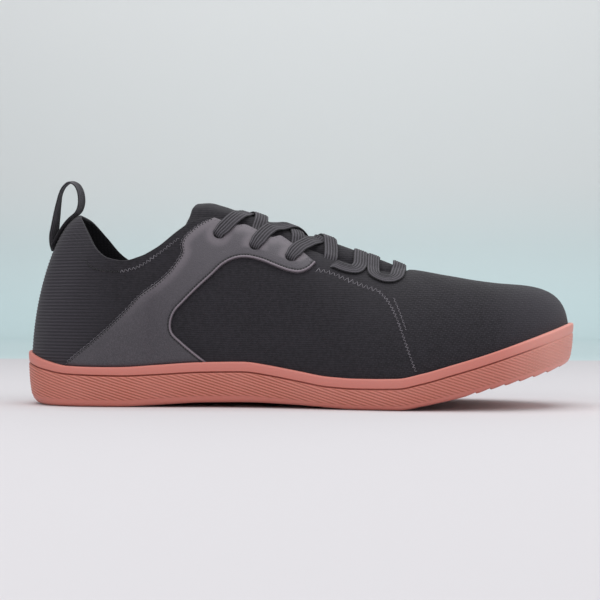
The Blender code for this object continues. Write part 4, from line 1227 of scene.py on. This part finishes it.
def laces(webbing):
    """Flat laces: two crossings, the third with its side runs and bar, and the ring in front."""
    rise = LACE_THICKNESS * 1.05
    for number in range(2):
        for side in (-1, 1):
            path = lace_path((INNER_RUNS if side < 0 else OUTER_RUNS)[number], side, LACE_STEP)
            over = side > 0 if number == 0 else side < 0
            meeting = CROSSINGS_AT[number]
            reach = np.hypot(path[:, 0] - meeting, path[:, 1] * 0.8)
            raised = (rise if over else 0.0) * bump_up(reach, LACE_WIDTH * 1.7)
            centres, normals, widths = from_eyelet(*lay_lace(path, raised, -side))
            name = f"lace_run_{'inner' if side < 0 else 'outer'}_{number + 1}"
            obj = flat_lace(name, centres, normals, widths, LACE_THICKNESS, webbing)
            if side > 0:
                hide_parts(f"lace_crossing_{number + 1}")
    path = lace_path(LADDER_RUN, -1, LACE_STEP)
    tucked = smooth_step(0.0215, 0.0182, path[:, 0]) * (path[:, 1] < -0.018)
    tucked[: len(path) // 2] = 0.0
    centres, normals, widths = from_eyelet(*lay_lace(path, -TUCK_DEPTH * tucked))
    ladder = flat_lace("lace_side_run", centres, normals, widths, LACE_THICKNESS, webbing)
    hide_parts("lace_crossing_3")
    path = lace_path(SHORT_RUN, 1, LACE_STEP)
    over_ridge = bump_up(np.hypot(path[:, 0] - 0.0145, path[:, 1]), LACE_WIDTH * 1.6)
    tucked = smooth_step(0.0160, 0.0205, -path[:, 1])
    centres, normals, widths = from_eyelet(*lay_lace(path, rise * over_ridge - TUCK_DEPTH * tucked))
    flat_lace("lace_short_run", centres, normals, widths, LACE_THICKNESS, webbing)
    half = list(RING_HALF)
    outline = half + [(x, -y) for x, y in half[-2:0:-1]]
    wrapped = open_curve(outline[-3:] + outline + outline[:4], 0.1) / 1000
    places = run_lengths(wrapped)
    apart = np.hypot(*(wrapped - np.array(half[0]) / 1000).T)
    once, twice = len(wrapped) // 3, len(wrapped) * 2 // 3
    start = places[int(np.argmin(apart[:once]))]
    finish = places[twice + int(np.argmin(apart[twice:]))]
    at = np.linspace(start, finish, round((finish - start) / LACE_STEP) + 1)[:-1]
    path = np.column_stack([np.interp(at, places, wrapped[:, k]) for k in (0, 1)])
    path[:, 1] = ridge_side(path[:, 0]) - path[:, 1]
    centres, normals = lay_lace(path, np.zeros(len(path)))
    widths = LACE_WIDTH * (0.90 + 0.10 * smooth_step(0.041, 0.047, path[:, 0]))
    ring = flat_lace("lace_front_ring", centres, normals, list(widths), LACE_THICKNESS, webbing, True)
    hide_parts("lace_ring")


# Pull loop seen from the side, from its rear end up, over the top and down to the heel's top:
# distance ahead of the heel's top and height over it in shares of its rise, twist in degrees
PULL_ROUTE = (
    (-0.790, -1.080, 8),
    (-0.838, -0.880, 10),
    (-0.840, -0.620, 12),
    (-0.795, -0.358, 11),
    (-0.735, 0.040, 6),
    (-0.680, 0.376, 0),
    (-0.618, 0.659, -5),
    (-0.503, 0.875, -6),
    (-0.324, 1.000, -6),
    (-0.150, 0.940, -8),
    (-0.029, 0.763, -8),
    (0.023, 0.439, -8),
    (-0.017, 0.208, -6),
    (-0.098, 0.069, -3),
)
PULL_ON_HEEL = (0.90, 0.87, 0.84, 0.81, 0.78, 0.755, 0.73, 0.705, 0.68, 0.655, 0.63)


def pull_loop(webbing):
    """Tape that rises behind the heel, turns over and comes back down on the heel's back."""
    top = (along(COLLAR_ROWS[0][1]), HEEL_HEIGHT * COLLAR_ROWS[0][3])
    rows = [(top[0] + a * PULL_RISE, top[1] + h * PULL_RISE, math.radians(t)) for a, h, t in PULL_ROUTE]
    curve = rise_curves(1, np.array([0.0]))
    for rise in PULL_ON_HEEL:
        behind, place, ahead = bezier(curve, np.array([[rise - 0.02, rise, rise + 0.02]]))[0]
        away = np.array([behind[2] - ahead[2], ahead[0] - behind[0]])
        away /= np.linalg.norm(away)
        reach = CLEARANCE + PULL_THICKNESS / 2
        rows.append((place[0] + away[0] * reach, place[2] + away[1] * reach, 0.0))
    places = run_lengths(np.array(rows)[:, :2])
    route = open_curve([row[:2] for row in rows], 0.0006)
    twist = np.interp(run_lengths(route), places, [row[2] for row in rows])
    centres = np.column_stack([route[:, 0], np.zeros(len(route)), route[:, 1]])
    flat = np.cross(np.gradient(centres, axis=0), np.array([0.0, 1.0, 0.0]))
    flat /= np.linalg.norm(flat, axis=1, keepdims=True)
    across = np.array([0.0, 1.0, 0.0])
    normals = flat * np.cos(twist)[:, None] + across * np.sin(twist)[:, None]
    obj = flat_lace("pull_loop_tape", centres, normals, [PULL_WIDTH] * len(route), PULL_THICKNESS, webbing)
    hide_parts("pull_loop")
    return obj


def linear(code):
    """sRGB hex to the linear colour that nodes take."""
    values = [int(code[k : k + 2], 16) / 255 for k in (0, 2, 4)]
    return tuple(v / 12.92 if v <= 0.04045 else ((v + 0.055) / 1.055) ** 2.4 for v in values) + (1.0,)


def add(tree, kind, inputs=None, **settings):
    """One node with its settings. Each input is a value, a hex colour or another node's output."""
    made = tree.nodes.new(kind)
    for key, value in settings.items():
        setattr(made, key, value)
    for key, value in (inputs or {}).items():
        if isinstance(value, bpy.types.NodeSocket):
            tree.links.new(value, made.inputs[key])
        elif made.inputs[key].type == "RGBA":
            made.inputs[key].default_value = linear(value)
        else:
            made.inputs[key].default_value = value
    return made.outputs


MATH = "ShaderNodeMath"
NOISE = "ShaderNodeTexNoise"
RANGE = "ShaderNodeMapRange"
BUMP = "ShaderNodeBump"
SMOOTH = "SMOOTHSTEP"


def surface(name, values):
    """A material with its node tree and its shader, whose even values are set directly."""
    material = bpy.data.materials.new(name)
    material.use_nodes = True
    shader = material.node_tree.nodes["Principled BSDF"]
    for key, value in values.items():
        shader.inputs[key].default_value = value
    return material, material.node_tree, shader


def waves(tree, value, pitch, shift=0.0):
    """Pattern that rises and falls between 0 and 1 once for each pitch."""
    turn = add(tree, MATH, {0: value, 1: 2 * math.pi / pitch, 2: shift}, operation="MULTIPLY_ADD")[0]
    swing = add(tree, MATH, {0: turn}, operation="SINE")[0]
    return add(tree, MATH, {0: swing, 1: 0.5, 2: 0.5}, operation="MULTIPLY_ADD")[0]


def tinted(tree, tone, layers):
    """A tone with more colours laid over it in turn.

    Each layer has a pattern, the values where its colour starts and is full, its strength and the colour.
    """
    for pattern, span, strength, colour in layers:
        if span:
            inputs = {0: pattern, 1: span[0], 2: span[1], 4: strength}
            share = add(tree, RANGE, inputs, interpolation_type=SMOOTH)[0]
        else:
            share = add(tree, MATH, {0: pattern, 1: strength}, operation="MULTIPLY")[0]
        tone = add(tree, "ShaderNodeMix", {0: share, 6: tone, 7: colour}, data_type="RGBA")[2]
    return tone


def knit_material():
    """Black machine knit: dry and matt, with level courses, small light loops and ribs at the heel."""
    values = {"Roughness": 0.88, "Sheen Weight": 0.10, "Sheen Roughness": 0.5, "Specular IOR Level": 0.35}
    material, tree, shader = surface("polyester_machine_knit", values)
    place = add(tree, "ShaderNodeTexCoord")["Object"]
    x, _, z = add(tree, "ShaderNodeSeparateXYZ", {0: place}).values()
    fibre = add(tree, NOISE, {"Vector": place, "Scale": 1500.0, "Detail": 3.0, "Roughness": 0.7})["Fac"]
    coarse = add(tree, NOISE, {"Vector": place, "Scale": 650.0, "Roughness": 0.6})["Fac"]
    patches = add(tree, NOISE, {"Vector": place, "Scale": 45.0})["Fac"]
    clouds = add(tree, NOISE, {"Vector": place, "Scale": 90.0})["Fac"]
    # Real courses are about 0.5 mm apart; they are drawn at 1.1 mm so that they still show
    drift = add(tree, MATH, {0: clouds, 1: 0.0020, 2: z}, operation="MULTIPLY_ADD")[0]
    course = waves(tree, drift, 0.0011)
    # Loops stand in slanting rows over the forefoot
    slant = add(tree, MATH, {0: x, 1: 0.55, 2: z}, operation="MULTIPLY_ADD")[0]
    other = add(tree, MATH, {0: x, 1: -1.6, 2: z}, operation="MULTIPLY_ADD")[0]
    slant, other = waves(tree, slant, 0.0017), waves(tree, other, 0.0026)
    loops = add(tree, MATH, {0: slant, 1: other}, operation="MULTIPLY")[0]
    crowns = add(tree, RANGE, {0: loops, 1: 0.50, 2: 0.95}, interpolation_type=SMOOTH)[0]
    forward = add(tree, RANGE, {0: x, 1: 0.010, 2: 0.070, 3: 0.10, 4: 1.0}, interpolation_type=SMOOTH)[0]
    crowns = add(tree, MATH, {0: crowns, 1: forward}, operation="MULTIPLY")[0]
    level = add(tree, RANGE, {0: x, 1: -0.020, 2: 0.050, 3: 0.22, 4: 0.12}, interpolation_type=SMOOTH)[0]
    level = add(tree, MATH, {0: level, 1: course}, operation="MULTIPLY")[0]
    level = add(tree, MATH, {0: fibre, 1: 0.45, 2: level}, operation="MULTIPLY_ADD")[0]
    tufts = add(tree, RANGE, {0: coarse, 1: 0.35, 2: 0.65, 3: 0.0, 4: 0.30}, interpolation_type=SMOOTH)[0]
    level = add(tree, MATH, {0: level, 1: tufts}, operation="ADD")[0]
    # Painted shade in the valleys of the heel's modelled ribs
    ribs = waves(tree, z, RIB_PITCH, -2 * math.pi * RIB_ROWS_FROM / RIB_PITCH + math.pi / 2)
    behind = add(tree, RANGE, {0: x, 1: -0.084, 2: -0.106}, interpolation_type=SMOOTH)[0]
    painted_valley_shade = add(tree, MATH, {0: ribs, 1: behind}, operation="MULTIPLY")[0]
    layers = (
        (level, None, 1.0, "2F2C32"),
        (crowns, None, 0.24, "4D4951"),
        (patches, (0.40, 0.75), 0.20, "2E2B32"),
        # Lighter towards the toe's tip: partly the knit's own tone, partly painted highlight where the toe
        # turns up to the light
        (x, (0.090, 0.135), 0.45, "403D45"),
        # Lighter at the heel: partly its own tone, partly painted highlight on the crests of its ribs
        (x, (-0.085, -0.120), 0.52, "48444C"),
        (painted_valley_shade, None, 0.62, "0F0D12"),
    )
    # Near black yarn with a little violet, lighter where the loops stand up
    tree.links.new(tinted(tree, "110F14", layers), shader.inputs["Base Color"])
    rows = add(tree, MATH, {0: crowns, 1: 0.7}, operation="MULTIPLY")[0]
    rows = add(tree, MATH, {0: course, 1: 0.5, 2: rows}, operation="MULTIPLY_ADD")[0]
    fine = add(tree, BUMP, {"Height": fibre, "Distance": 0.00016, "Strength": 0.5})[0]
    bumps = add(tree, BUMP, {"Height": rows, "Distance": 0.00020, "Strength": 0.7, "Normal": fine})[0]
    tree.links.new(bumps, shader.inputs["Normal"])
    return material


def lining_material():
    """Black lining textile: dull, a fine brushed mesh."""
    values = {"Roughness": 0.95, "Sheen Weight": 0.05, "Specular IOR Level": 0.25}
    material, tree, shader = surface("brushed_lining_textile", values)
    place = add(tree, "ShaderNodeTexCoord")["Object"]
    x, _, z = add(tree, "ShaderNodeSeparateXYZ", {0: place}).values()
    # The mesh's holes are 0.8 mm apart, drawn at 1.5 mm
    mesh = add(tree, MATH, {0: waves(tree, z, 0.0014), 1: waves(tree, x, 0.0016)}, operation="MULTIPLY")[0]
    fibre = add(tree, NOISE, {"Vector": place, "Scale": 1100.0})["Fac"]
    fluff = add(tree, MATH, {0: fibre, 1: 0.4}, operation="MULTIPLY")[0]
    level = add(tree, MATH, {0: mesh, 1: 0.5, 2: fluff}, operation="MULTIPLY_ADD")[0]
    tree.links.new(tinted(tree, "0D0C0F", ((level, None, 1.0, "232227"),)), shader.inputs["Base Color"])
    bumps = add(tree, BUMP, {"Height": level, "Distance": 0.0002, "Strength": 0.7})[0]
    tree.links.new(bumps, shader.inputs["Normal"])
    return material


def leather_material():
    """Pressed synthetic leather: satin with a fine pebble grain, a paler raised edge along its front that
    is partly painted highlight, painted shade along its edges and crease, painted light higher up.
    """
    values = {"Roughness": 0.50, "IOR": 1.47, "Coat Weight": 0.08, "Coat Roughness": 0.42}
    material, tree, shader = surface("pebbled_synthetic_leather", values)
    place = add(tree, "ShaderNodeTexCoord")["Object"]
    z = add(tree, "ShaderNodeSeparateXYZ", {0: place})["Z"]
    edge = add(tree, "ShaderNodeAttribute", attribute_name="relief")["Fac"]
    front = add(tree, "ShaderNodeAttribute", attribute_name="piping")["Fac"]
    # Grain cells are 0.35 mm across, drawn at 0.5 mm
    cells = add(tree, "ShaderNodeTexVoronoi", {"Vector": place, "Scale": 2000.0})["Distance"]
    mottle = add(tree, NOISE, {"Vector": place, "Scale": 1500.0, "Detail": 3.0, "Roughness": 0.6})["Fac"]
    cloud = add(tree, NOISE, {"Vector": place, "Scale": 38.0})["Fac"]
    grain = add(tree, MATH, {0: cells, 1: 0.7}, operation="MULTIPLY")[0]
    grain = add(tree, MATH, {0: mottle, 1: 0.9, 2: grain}, operation="MULTIPLY_ADD")[0]
    # Painted shade in the crease behind the raised edge, and the painted highlight that the rear part
    # catches higher up
    painted_crease_shade = add(tree, RANGE, {0: front, 1: 1.02, 2: 1.30}, interpolation_type=SMOOTH)[0]
    behind = add(tree, RANGE, {0: front, 1: 2.3, 2: 1.7}, interpolation_type=SMOOTH)[0]
    painted_crease_shade = add(tree, MATH, {0: painted_crease_shade, 1: behind}, operation="MULTIPLY")[0]
    # Painted light: the leather is lighter towards its top, where the light from overhead falls
    painted_light_from_above = add(tree, RANGE, {0: z, 1: 0.030, 2: 0.085}, interpolation_type=SMOOTH)[0]
    inside = add(tree, RANGE, {0: front, 1: 4.5, 2: 5.9}, interpolation_type=SMOOTH)[0]
    near = add(tree, RANGE, {0: edge, 1: 5.9, 2: 1.8}, interpolation_type=SMOOTH)[0]
    light = add(tree, MATH, {0: near, 1: inside}, operation="MULTIPLY")[0]
    light = add(tree, MATH, {0: light, 1: painted_light_from_above}, operation="MULTIPLY")[0]
    layers = (
        (grain, (0.20, 1.30), 1.0, "4C474E"),
        (painted_light_from_above, None, 0.46, "5E5960"),
        (cloud, (0.40, 0.70), 0.18, "4E494F"),
        (light, None, 0.42, "857C83"),
        (painted_crease_shade, None, 0.60, "201E22"),
        # Paler raised bead along the front edge: partly its own colour, partly painted highlight
        (front, (1.20, 0.92), 0.85, "897E87"),
        # Painted shade: a thin dark line along every edge of the leather
        (edge, (0.30, 0.10), 0.70, "242226"),
    )
    tree.links.new(tinted(tree, "2B282D", layers), shader.inputs["Base Color"])
    dull = add(tree, RANGE, {0: mottle, 1: 0.3, 2: 0.7, 3: 0.44, 4: 0.56}, interpolation_type=SMOOTH)[0]
    tree.links.new(dull, shader.inputs["Roughness"])
    bumps = add(tree, BUMP, {"Height": grain, "Distance": 0.00014, "Strength": 0.7})[0]
    tree.links.new(bumps, shader.inputs["Normal"])
    return material


def webbing_material():
    """Flat woven webbing, charcoal: lengthwise ribs of thread with painted highlight on their crowns, dry.
    """
    values = {"Roughness": 0.80, "Sheen Weight": 0.10, "Sheen Roughness": 0.5, "Specular IOR Level": 0.4}
    material, tree, shader = surface("flat_woven_webbing", values)
    place = add(tree, "ShaderNodeTexCoord")["Object"]
    cloth = add(tree, "ShaderNodeUVMap", uv_map="cloth")[0]
    across, lengthwise, _ = add(tree, "ShaderNodeSeparateXYZ", {0: cloth}).values()
    ribs = waves(tree, across, LACE_WIDTH / LACE_RIDGES, math.pi / 2)
    lean = add(tree, MATH, {0: across, 1: 1.3, 2: lengthwise}, operation="MULTIPLY_ADD")[0]
    # Picks are about 0.5 mm apart, drawn at 0.9 mm
    picks = waves(tree, lean, 0.0009)
    fibre = add(tree, NOISE, {"Vector": place, "Scale": 1300.0, "Detail": 3.0, "Roughness": 0.65})["Fac"]
    level = add(tree, MATH, {0: fibre, 1: 0.70, 2: -0.35}, operation="MULTIPLY_ADD")[0]
    level = add(tree, MATH, {0: picks, 1: 0.22, 2: level}, operation="MULTIPLY_ADD")[0]
    # Painted highlight on the crowns of the lengthwise ribs
    crown = add(tree, MATH, {0: ribs, 1: 2.2}, operation="POWER")[0]
    level = add(tree, MATH, {0: crown, 1: 0.75, 2: level}, operation="MULTIPLY_ADD")[0]
    tree.links.new(tinted(tree, "141317", ((level, None, 1.0, "605C63"),)), shader.inputs["Base Color"])
    weave = add(tree, MATH, {0: fibre, 1: 0.6}, operation="MULTIPLY")[0]
    weave = add(tree, MATH, {0: picks, 1: 0.5, 2: weave}, operation="MULTIPLY_ADD")[0]
    bumps = add(tree, BUMP, {"Height": weave, "Distance": 0.00018, "Strength": 0.7})[0]
    tree.links.new(bumps, shader.inputs["Normal"])
    return material


def rubber_material():
    """Moulded gum rubber: salmon brown, softly matt, with painted shade that makes it darker and redder
    down in its groove and ribs.
    """
    values = {"Roughness": 0.52, "IOR": 1.52, "Subsurface Weight": 0.06, "Subsurface Scale": 0.002}
    material, tree, shader = surface("moulded_gum_rubber", values)
    place = add(tree, "ShaderNodeTexCoord")["Object"]
    x = add(tree, "ShaderNodeSeparateXYZ", {0: place})["X"]
    relief = add(tree, "ShaderNodeAttribute", attribute_name="relief")["Fac"]
    cloud = add(tree, NOISE, {"Vector": place, "Scale": 30.0})["Fac"]
    # Dust specks of 0.3 mm, drawn at 0.7 mm
    speck = add(tree, NOISE, {"Vector": place, "Scale": 1400.0, "Roughness": 0.6})["Fac"]
    layers = (
        # Painted shade: darker between the ribs and in the groove, lighter on the rib crests, from the
        # relief's height
        (relief, (0.0, 0.95), 1.0, "CE7B6F"),
        (relief, (0.0, -0.8), 1.0, "761F14"),
        (cloud, (0.35, 0.70), 0.25, "CB8075"),
        (speck, (0.45, 0.75), 0.20, "D48D7F"),
        (x, (0.095, 0.136), 0.68, "EBA89C"),
    )
    tree.links.new(tinted(tree, "A0573D", layers), shader.inputs["Base Color"])
    dull = add(tree, RANGE, {0: speck, 1: 0.3, 2: 0.7, 3: 0.46, 4: 0.60}, interpolation_type=SMOOTH)[0]
    tree.links.new(dull, shader.inputs["Roughness"])
    bumps = add(tree, BUMP, {"Height": speck, "Distance": 0.00008, "Strength": 0.4})[0]
    tree.links.new(bumps, shader.inputs["Normal"])
    return material


def thread_material(name, low, high):
    """Spun polyester thread: short fibres, its two tones mixed by a fine noise."""
    material, tree, shader = surface(name, {"Roughness": 0.65, "Sheen Weight": 0.1})
    place = add(tree, "ShaderNodeTexCoord")["Object"]
    fibre = add(tree, NOISE, {"Vector": place, "Scale": 700.0})["Fac"]
    tree.links.new(tinted(tree, low, ((fibre, None, 1.0, high),)), shader.inputs["Base Color"])
    return material


def stitch_tree():
    """Geometry nodes that lay one small rounded stitch on each point, turned to its own aim."""
    tree = bpy.data.node_groups.new("thread_stitches", "GeometryNodeTree")
    face = tree.interface
    face.new_socket("Geometry", in_out="INPUT", socket_type="NodeSocketGeometry")
    kinds = {"Thread Width": "Float", "Unevenness": "Float", "Seed": "Int", "Thread": "Material"}
    for label, kind in kinds.items():
        face.new_socket(label, in_out="INPUT", socket_type=f"NodeSocket{kind}")
    face.new_socket("Geometry", in_out="OUTPUT", socket_type="NodeSocketGeometry")
    given = add(tree, "NodeGroupInput")
    layer, turned = "GeometryNodeInputNamedAttribute", "FunctionNodeAlignRotationToVector"
    aim = add(tree, layer, {"Name": "aim"}, data_type="FLOAT_VECTOR")[0]
    up = add(tree, layer, {"Name": "up"}, data_type="FLOAT_VECTOR")[0]
    half = add(tree, layer, {"Name": "half_length"}, data_type="FLOAT")[0]
    facing = add(tree, turned, {"Vector": aim}, axis="X")[0]
    facing = add(tree, turned, {"Rotation": facing, "Vector": up}, axis="Z", pivot_axis="X")[0]
    inputs = {2: -1.0, 3: 1.0, "Seed": given["Seed"]}
    chance = add(tree, "FunctionNodeRandomValue", inputs, data_type="FLOAT")[1]
    swell = add(tree, MATH, {0: chance, 1: given["Unevenness"], 2: 1.0}, operation="MULTIPLY_ADD")[0]
    long = add(tree, MATH, {0: half, 1: swell}, operation="MULTIPLY")[0]
    thick = add(tree, MATH, {0: given["Thread Width"], 1: 0.5}, operation="MULTIPLY")[0]
    thick = add(tree, MATH, {0: thick, 1: swell}, operation="MULTIPLY")[0]
    size = add(tree, "ShaderNodeCombineXYZ", {0: long, 1: thick, 2: thick})[0]
    body = add(tree, "GeometryNodeMeshUVSphere", {"Segments": 6, "Rings": 5, "Radius": 1.0})["Mesh"]
    smooth = add(tree, "GeometryNodeSetShadeSmooth", {"Geometry": body})[0]
    inputs = {"Points": given["Geometry"], "Instance": smooth, "Rotation": facing, "Scale": size}
    laid = add(tree, "GeometryNodeInstanceOnPoints", inputs)[0]
    real = add(tree, "GeometryNodeRealizeInstances", {0: laid})[0]
    done = add(tree, "GeometryNodeSetMaterial", {"Geometry": real, "Material": given["Thread"]})[0]
    add(tree, "NodeGroupOutput", {0: done})
    return tree


def seam(side, line, pitch, length, lift, zigzag):
    """Stitches of one seam seen from the side: middle, aim, up and half length of each.

    The line, pitch, length and zigzag are in millimetres. A zigzag seam goes from edge to edge.
    """
    path = open_curve(line, pitch)
    ahead = np.gradient(path, axis=0)
    ahead /= np.linalg.norm(ahead, axis=1, keepdims=True)
    aside = np.column_stack([-ahead[:, 1], ahead[:, 0]])
    if zigzag:
        turns = path + aside * zigzag * np.where(np.arange(len(path)) % 2, 1.0, -1.0)[:, None]
        pairs = list(zip(turns, turns[1:]))
    else:
        pairs = list(zip(path - ahead * length / 2, path + ahead * length / 2))
    rows = []
    for a, b in pairs:
        first, normal = LAST.smooth_from_side(side, a[0] / 1000, a[1] / 1000)
        second, other = LAST.smooth_from_side(side, b[0] / 1000, b[1] / 1000)
        up = (normal + other).normalized()
        rows.append(((first + second) / 2 + up * lift, second - first, up, (second - first).length / 2))
    return rows


def stitches(name, rows, width, unevenness, seed, thread):
    """Real stitches from the rows of some seams, joined in one plain mesh."""
    mesh = bpy.data.meshes.new(name + "_points")
    mesh.from_pydata([tuple(row[0]) for row in rows], [], [])
    for key, kind, column in (("aim", "FLOAT_VECTOR", 1), ("up", "FLOAT_VECTOR", 2)):
        layer = mesh.attributes.new(key, kind, "POINT")
        layer.data.foreach_set("vector", [float(v) for row in rows for v in row[column]])
    layer = mesh.attributes.new("half_length", "FLOAT", "POINT")
    layer.data.foreach_set("value", [float(row[3]) for row in rows])
    points = bpy.data.objects.new(name + "_points", mesh)
    bpy.context.scene.collection.objects.link(points)
    tree = bpy.data.node_groups.get("thread_stitches") or stitch_tree()
    modifier = points.modifiers.new("stitches", "NODES")
    modifier.node_group = tree
    wanted = {"Thread Width": width, "Unevenness": unevenness, "Seed": seed, "Thread": thread}
    for item in tree.interface.items_tree:
        if item.in_out == "INPUT" and item.name in wanted:
            modifier[item.identifier] = wanted[item.name]
    made = bpy.data.meshes.new_from_object(points.evaluated_get(bpy.context.evaluated_depsgraph_get()))
    points.modifiers.clear()
    bpy.data.objects.remove(points)
    made.name = name
    obj = bpy.data.objects.new(name, made)
    bpy.context.scene.collection.objects.link(obj)
    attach(obj, "root")
    return obj


# Zigzag seams on the knit, in millimetres along X and Z
VAMP_SEAM = (
    (11.9, 68.4), (18.8, 67.0), (26.3, 63.9), (33.8, 60.9), (42.8, 57.9), (46.4, 54.4), (48.9, 51.0),
    (52.4, 43.7), (56.3, 33.2), (59.6, 23.7), (61.5, 18.9),
)
VAMP_SECOND_SEAM = ((50.5, 54.5), (53.6, 47.2), (56.8, 38.6))
COLLAR_SEAM = (
    (-104.5, 74.2), (-102.5, 70.8), (-97.0, 68.6), (-85.8, 67.5), (-75.7, 70.4), (-68.3, 75.4),
    (-61.2, 81.0), (-57.0, 84.6),
)

# How far the rows of thread lie inside or outside the leather's edges, in millimetres
REAR_ROW_INSET = 0.75
REAR_ZIGZAG_OUTSIDE = 0.55
TOP_ROW_INSET = 1.2


def moved_in(line, inset):
    """An edge of the leather moved inwards, or outwards where the inset is below zero."""
    ahead = np.gradient(line, axis=0)
    ahead /= np.linalg.norm(ahead, axis=1, keepdims=True)
    return line + np.column_stack([ahead[:, 1], -ahead[:, 0]]) * inset


def sewing():
    """Dark rows inside the leather's edges and pale zigzag seams on the knit, the same on both sides."""
    dark = thread_material("black_spun_thread", "08080A", "19181C")
    pale = thread_material("grey_spun_thread", "5F5B62", "8F8A91")
    over_leather = CLEARANCE * 0.4 + LEATHER_THICKNESS
    over_knit = 0.00010
    over_vamp = 0.00012
    dark_rows, pale_rows = [], []
    for side in (-1, 1):
        rear, top, front, _ = leather_edges(side)
        # Each seam: line, pitch, stitch length, lift over the last, half width of its zigzag
        dark_seams = (
            (moved_in(front, FRONT_ROW_INSET)[2:-3], 1.45, 0.85, over_leather, 0.0),
            (moved_in(rear, REAR_ROW_INSET)[3:-2], 1.55, 0.95, over_leather, 0.0),
            (COLLAR_SEAM[:4], 1.15, 1.0, over_knit, 0.55),
        )
        pale_seams = (
            (moved_in(rear, -REAR_ZIGZAG_OUTSIDE)[4:-3], 1.10, 1.0, over_knit, 0.35),
            (moved_in(top, TOP_ROW_INSET)[1:-2], 1.05, 1.0, over_leather, 0.65),
            (VAMP_SEAM[4:], 0.85, 1.0, over_vamp, 0.75),
            (VAMP_SEAM[:5], 1.25, 1.0, over_vamp, 1.15),
            (VAMP_SECOND_SEAM, 0.90, 1.0, over_knit, 0.45),
            (COLLAR_SEAM[3:], 1.00, 1.0, over_knit, 0.85),
        )
        for rows, seams in ((dark_rows, dark_seams), (pale_rows, pale_seams)):
            for row in seams:
                rows += seam(side, *row)
    stitches("leather_row_stitches", dark_rows, 0.00058, 0.12, 7, dark)
    stitches("zigzag_seam_stitches", pale_rows, 0.00029, 0.25, 11, pale)


# The wall stands well behind the shoe, so that it is out of the way of views from behind
WALL_PLACE = 1.6


def sweep_material():
    """Matt painted sweep: near white near the shoe, then a cool band that turns paler up the wall."""
    material, tree, shader = surface("matt_painted_sweep", {"Roughness": 0.9, "Specular IOR Level": 0.2})
    place = add(tree, "ShaderNodeTexCoord")["Object"]
    _, y, z = add(tree, "ShaderNodeSeparateXYZ", {0: place}).values()
    wall = tinted(tree, "CFE2E4", ((z, (0.000, 0.280), 1.0, "DFDFDF"),))
    tone = tinted(tree, "D9D6D9", ((y, (0.600, 0.655), 1.0, wall),))
    tree.links.new(tone, shader.inputs["Base Color"])
    return material


def stage(material):
    """Pale floor that turns up into a plain backdrop."""
    turn = 0.15
    front, top, half_width = -2.2, 3.0, 4.0
    profile = [(front, 0.0), (WALL_PLACE - turn, 0.0)]
    for k in range(1, 13):
        angle = math.pi / 2 * k / 12
        profile.append((WALL_PLACE - turn + turn * math.sin(angle), turn - turn * math.cos(angle)))
    profile.append((WALL_PLACE, top))
    bm = bmesh.new()
    rows = [[bm.verts.new((x, y, z)) for x in (-half_width, half_width)] for y, z in profile]
    for here, there in zip(rows, rows[1:]):
        bm.faces.new((here[0], here[1], there[1], there[0]))
    obj = keep("studio_sweep", bm, [material])


# The photo's camera, worked out from the shoe's place in it: distance and height, turn about the shoe in
# degrees, focal length and picture width in pixels, shift in shares of the picture's width
CAMERA_DISTANCE = 0.75
CAMERA_HEIGHT = 0.05
CAMERA_TURN = 5
FOCAL_PIXELS = 1452
PICTURE_PIXELS = 600
CAMERA_SHIFT = (0.005, 0.01167)


def camera():
    """Camera at the photo's viewing angle, level, with nothing out of focus."""
    data = bpy.data.cameras.new("photo_camera")
    data.sensor_width = 36.0
    data.lens = FOCAL_PIXELS / PICTURE_PIXELS * 36
    data.shift_x, data.shift_y = CAMERA_SHIFT
    obj = bpy.data.objects.new("photo_camera", data)
    turn = math.radians(CAMERA_TURN)
    obj.location = (CAMERA_DISTANCE * math.sin(turn), -CAMERA_DISTANCE * math.cos(turn), CAMERA_HEIGHT)
    obj.rotation_euler = (math.radians(90), 0.0, turn)
    bpy.context.scene.collection.objects.link(obj)
    bpy.context.scene.camera = obj


# Softboxes: name, place, what it faces, size, watts
SOFTBOXES = (
    ("top_softbox", (0.0, -0.05, 1.15), (0.0, 0.05, 0.0), (1.4, 1.2), 9.8),
    ("front_softbox", (-0.55, -1.15, 0.65), (0.0, 0.0, 0.05), (0.9, 0.7), 4.4),
    ("side_softbox", (1.0, -0.35, 0.60), (0.05, 0.0, 0.04), (0.6, 0.6), 2.2),
    ("wall_softbox", (0.0, WALL_PLACE - 0.8, 1.0), (0.0, WALL_PLACE, 1.0), (2.6, 0.5), 6.5),
)


def lighting():
    """Broad soft studio light: a large softbox overhead, weaker ones in front and on the wall."""
    for name, place, target, size, watts in SOFTBOXES:
        data = bpy.data.lights.new(name, "AREA")
        data.shape = "RECTANGLE"
        data.size, data.size_y = size
        data.energy = watts
        obj = bpy.data.objects.new(name, data)
        obj.location = place
        aim = Vector(target) - Vector(place)
        obj.rotation_euler = aim.to_track_quat("-Z", "Y").to_euler()
        bpy.context.scene.collection.objects.link(obj)
    world = bpy.data.worlds.new("pale_surroundings")
    world.use_nodes = True
    bpy.context.scene.world = world
    background = world.node_tree.nodes["Background"]
    background.inputs["Color"].default_value = linear("E6E9EC")
    background.inputs["Strength"].default_value = 0.53
    bpy.context.scene.view_settings.view_transform = "Standard"


def main():
    """The whole scene, its pieces in the order they are worn."""
    camera()
    knit = knit_material()
    lining = lining_material()
    leather = leather_material()
    webbing = webbing_material()
    rubber = rubber_material()
    upper(knit, lining)
    outsole(rubber)
    insole(lining)
    tongue(knit)
    for side in (-1, 1):
        eyestay(side, leather)
    laces(webbing)
    pull_loop(webbing)
    sewing()
    stage(sweep_material())
    lighting()


main()
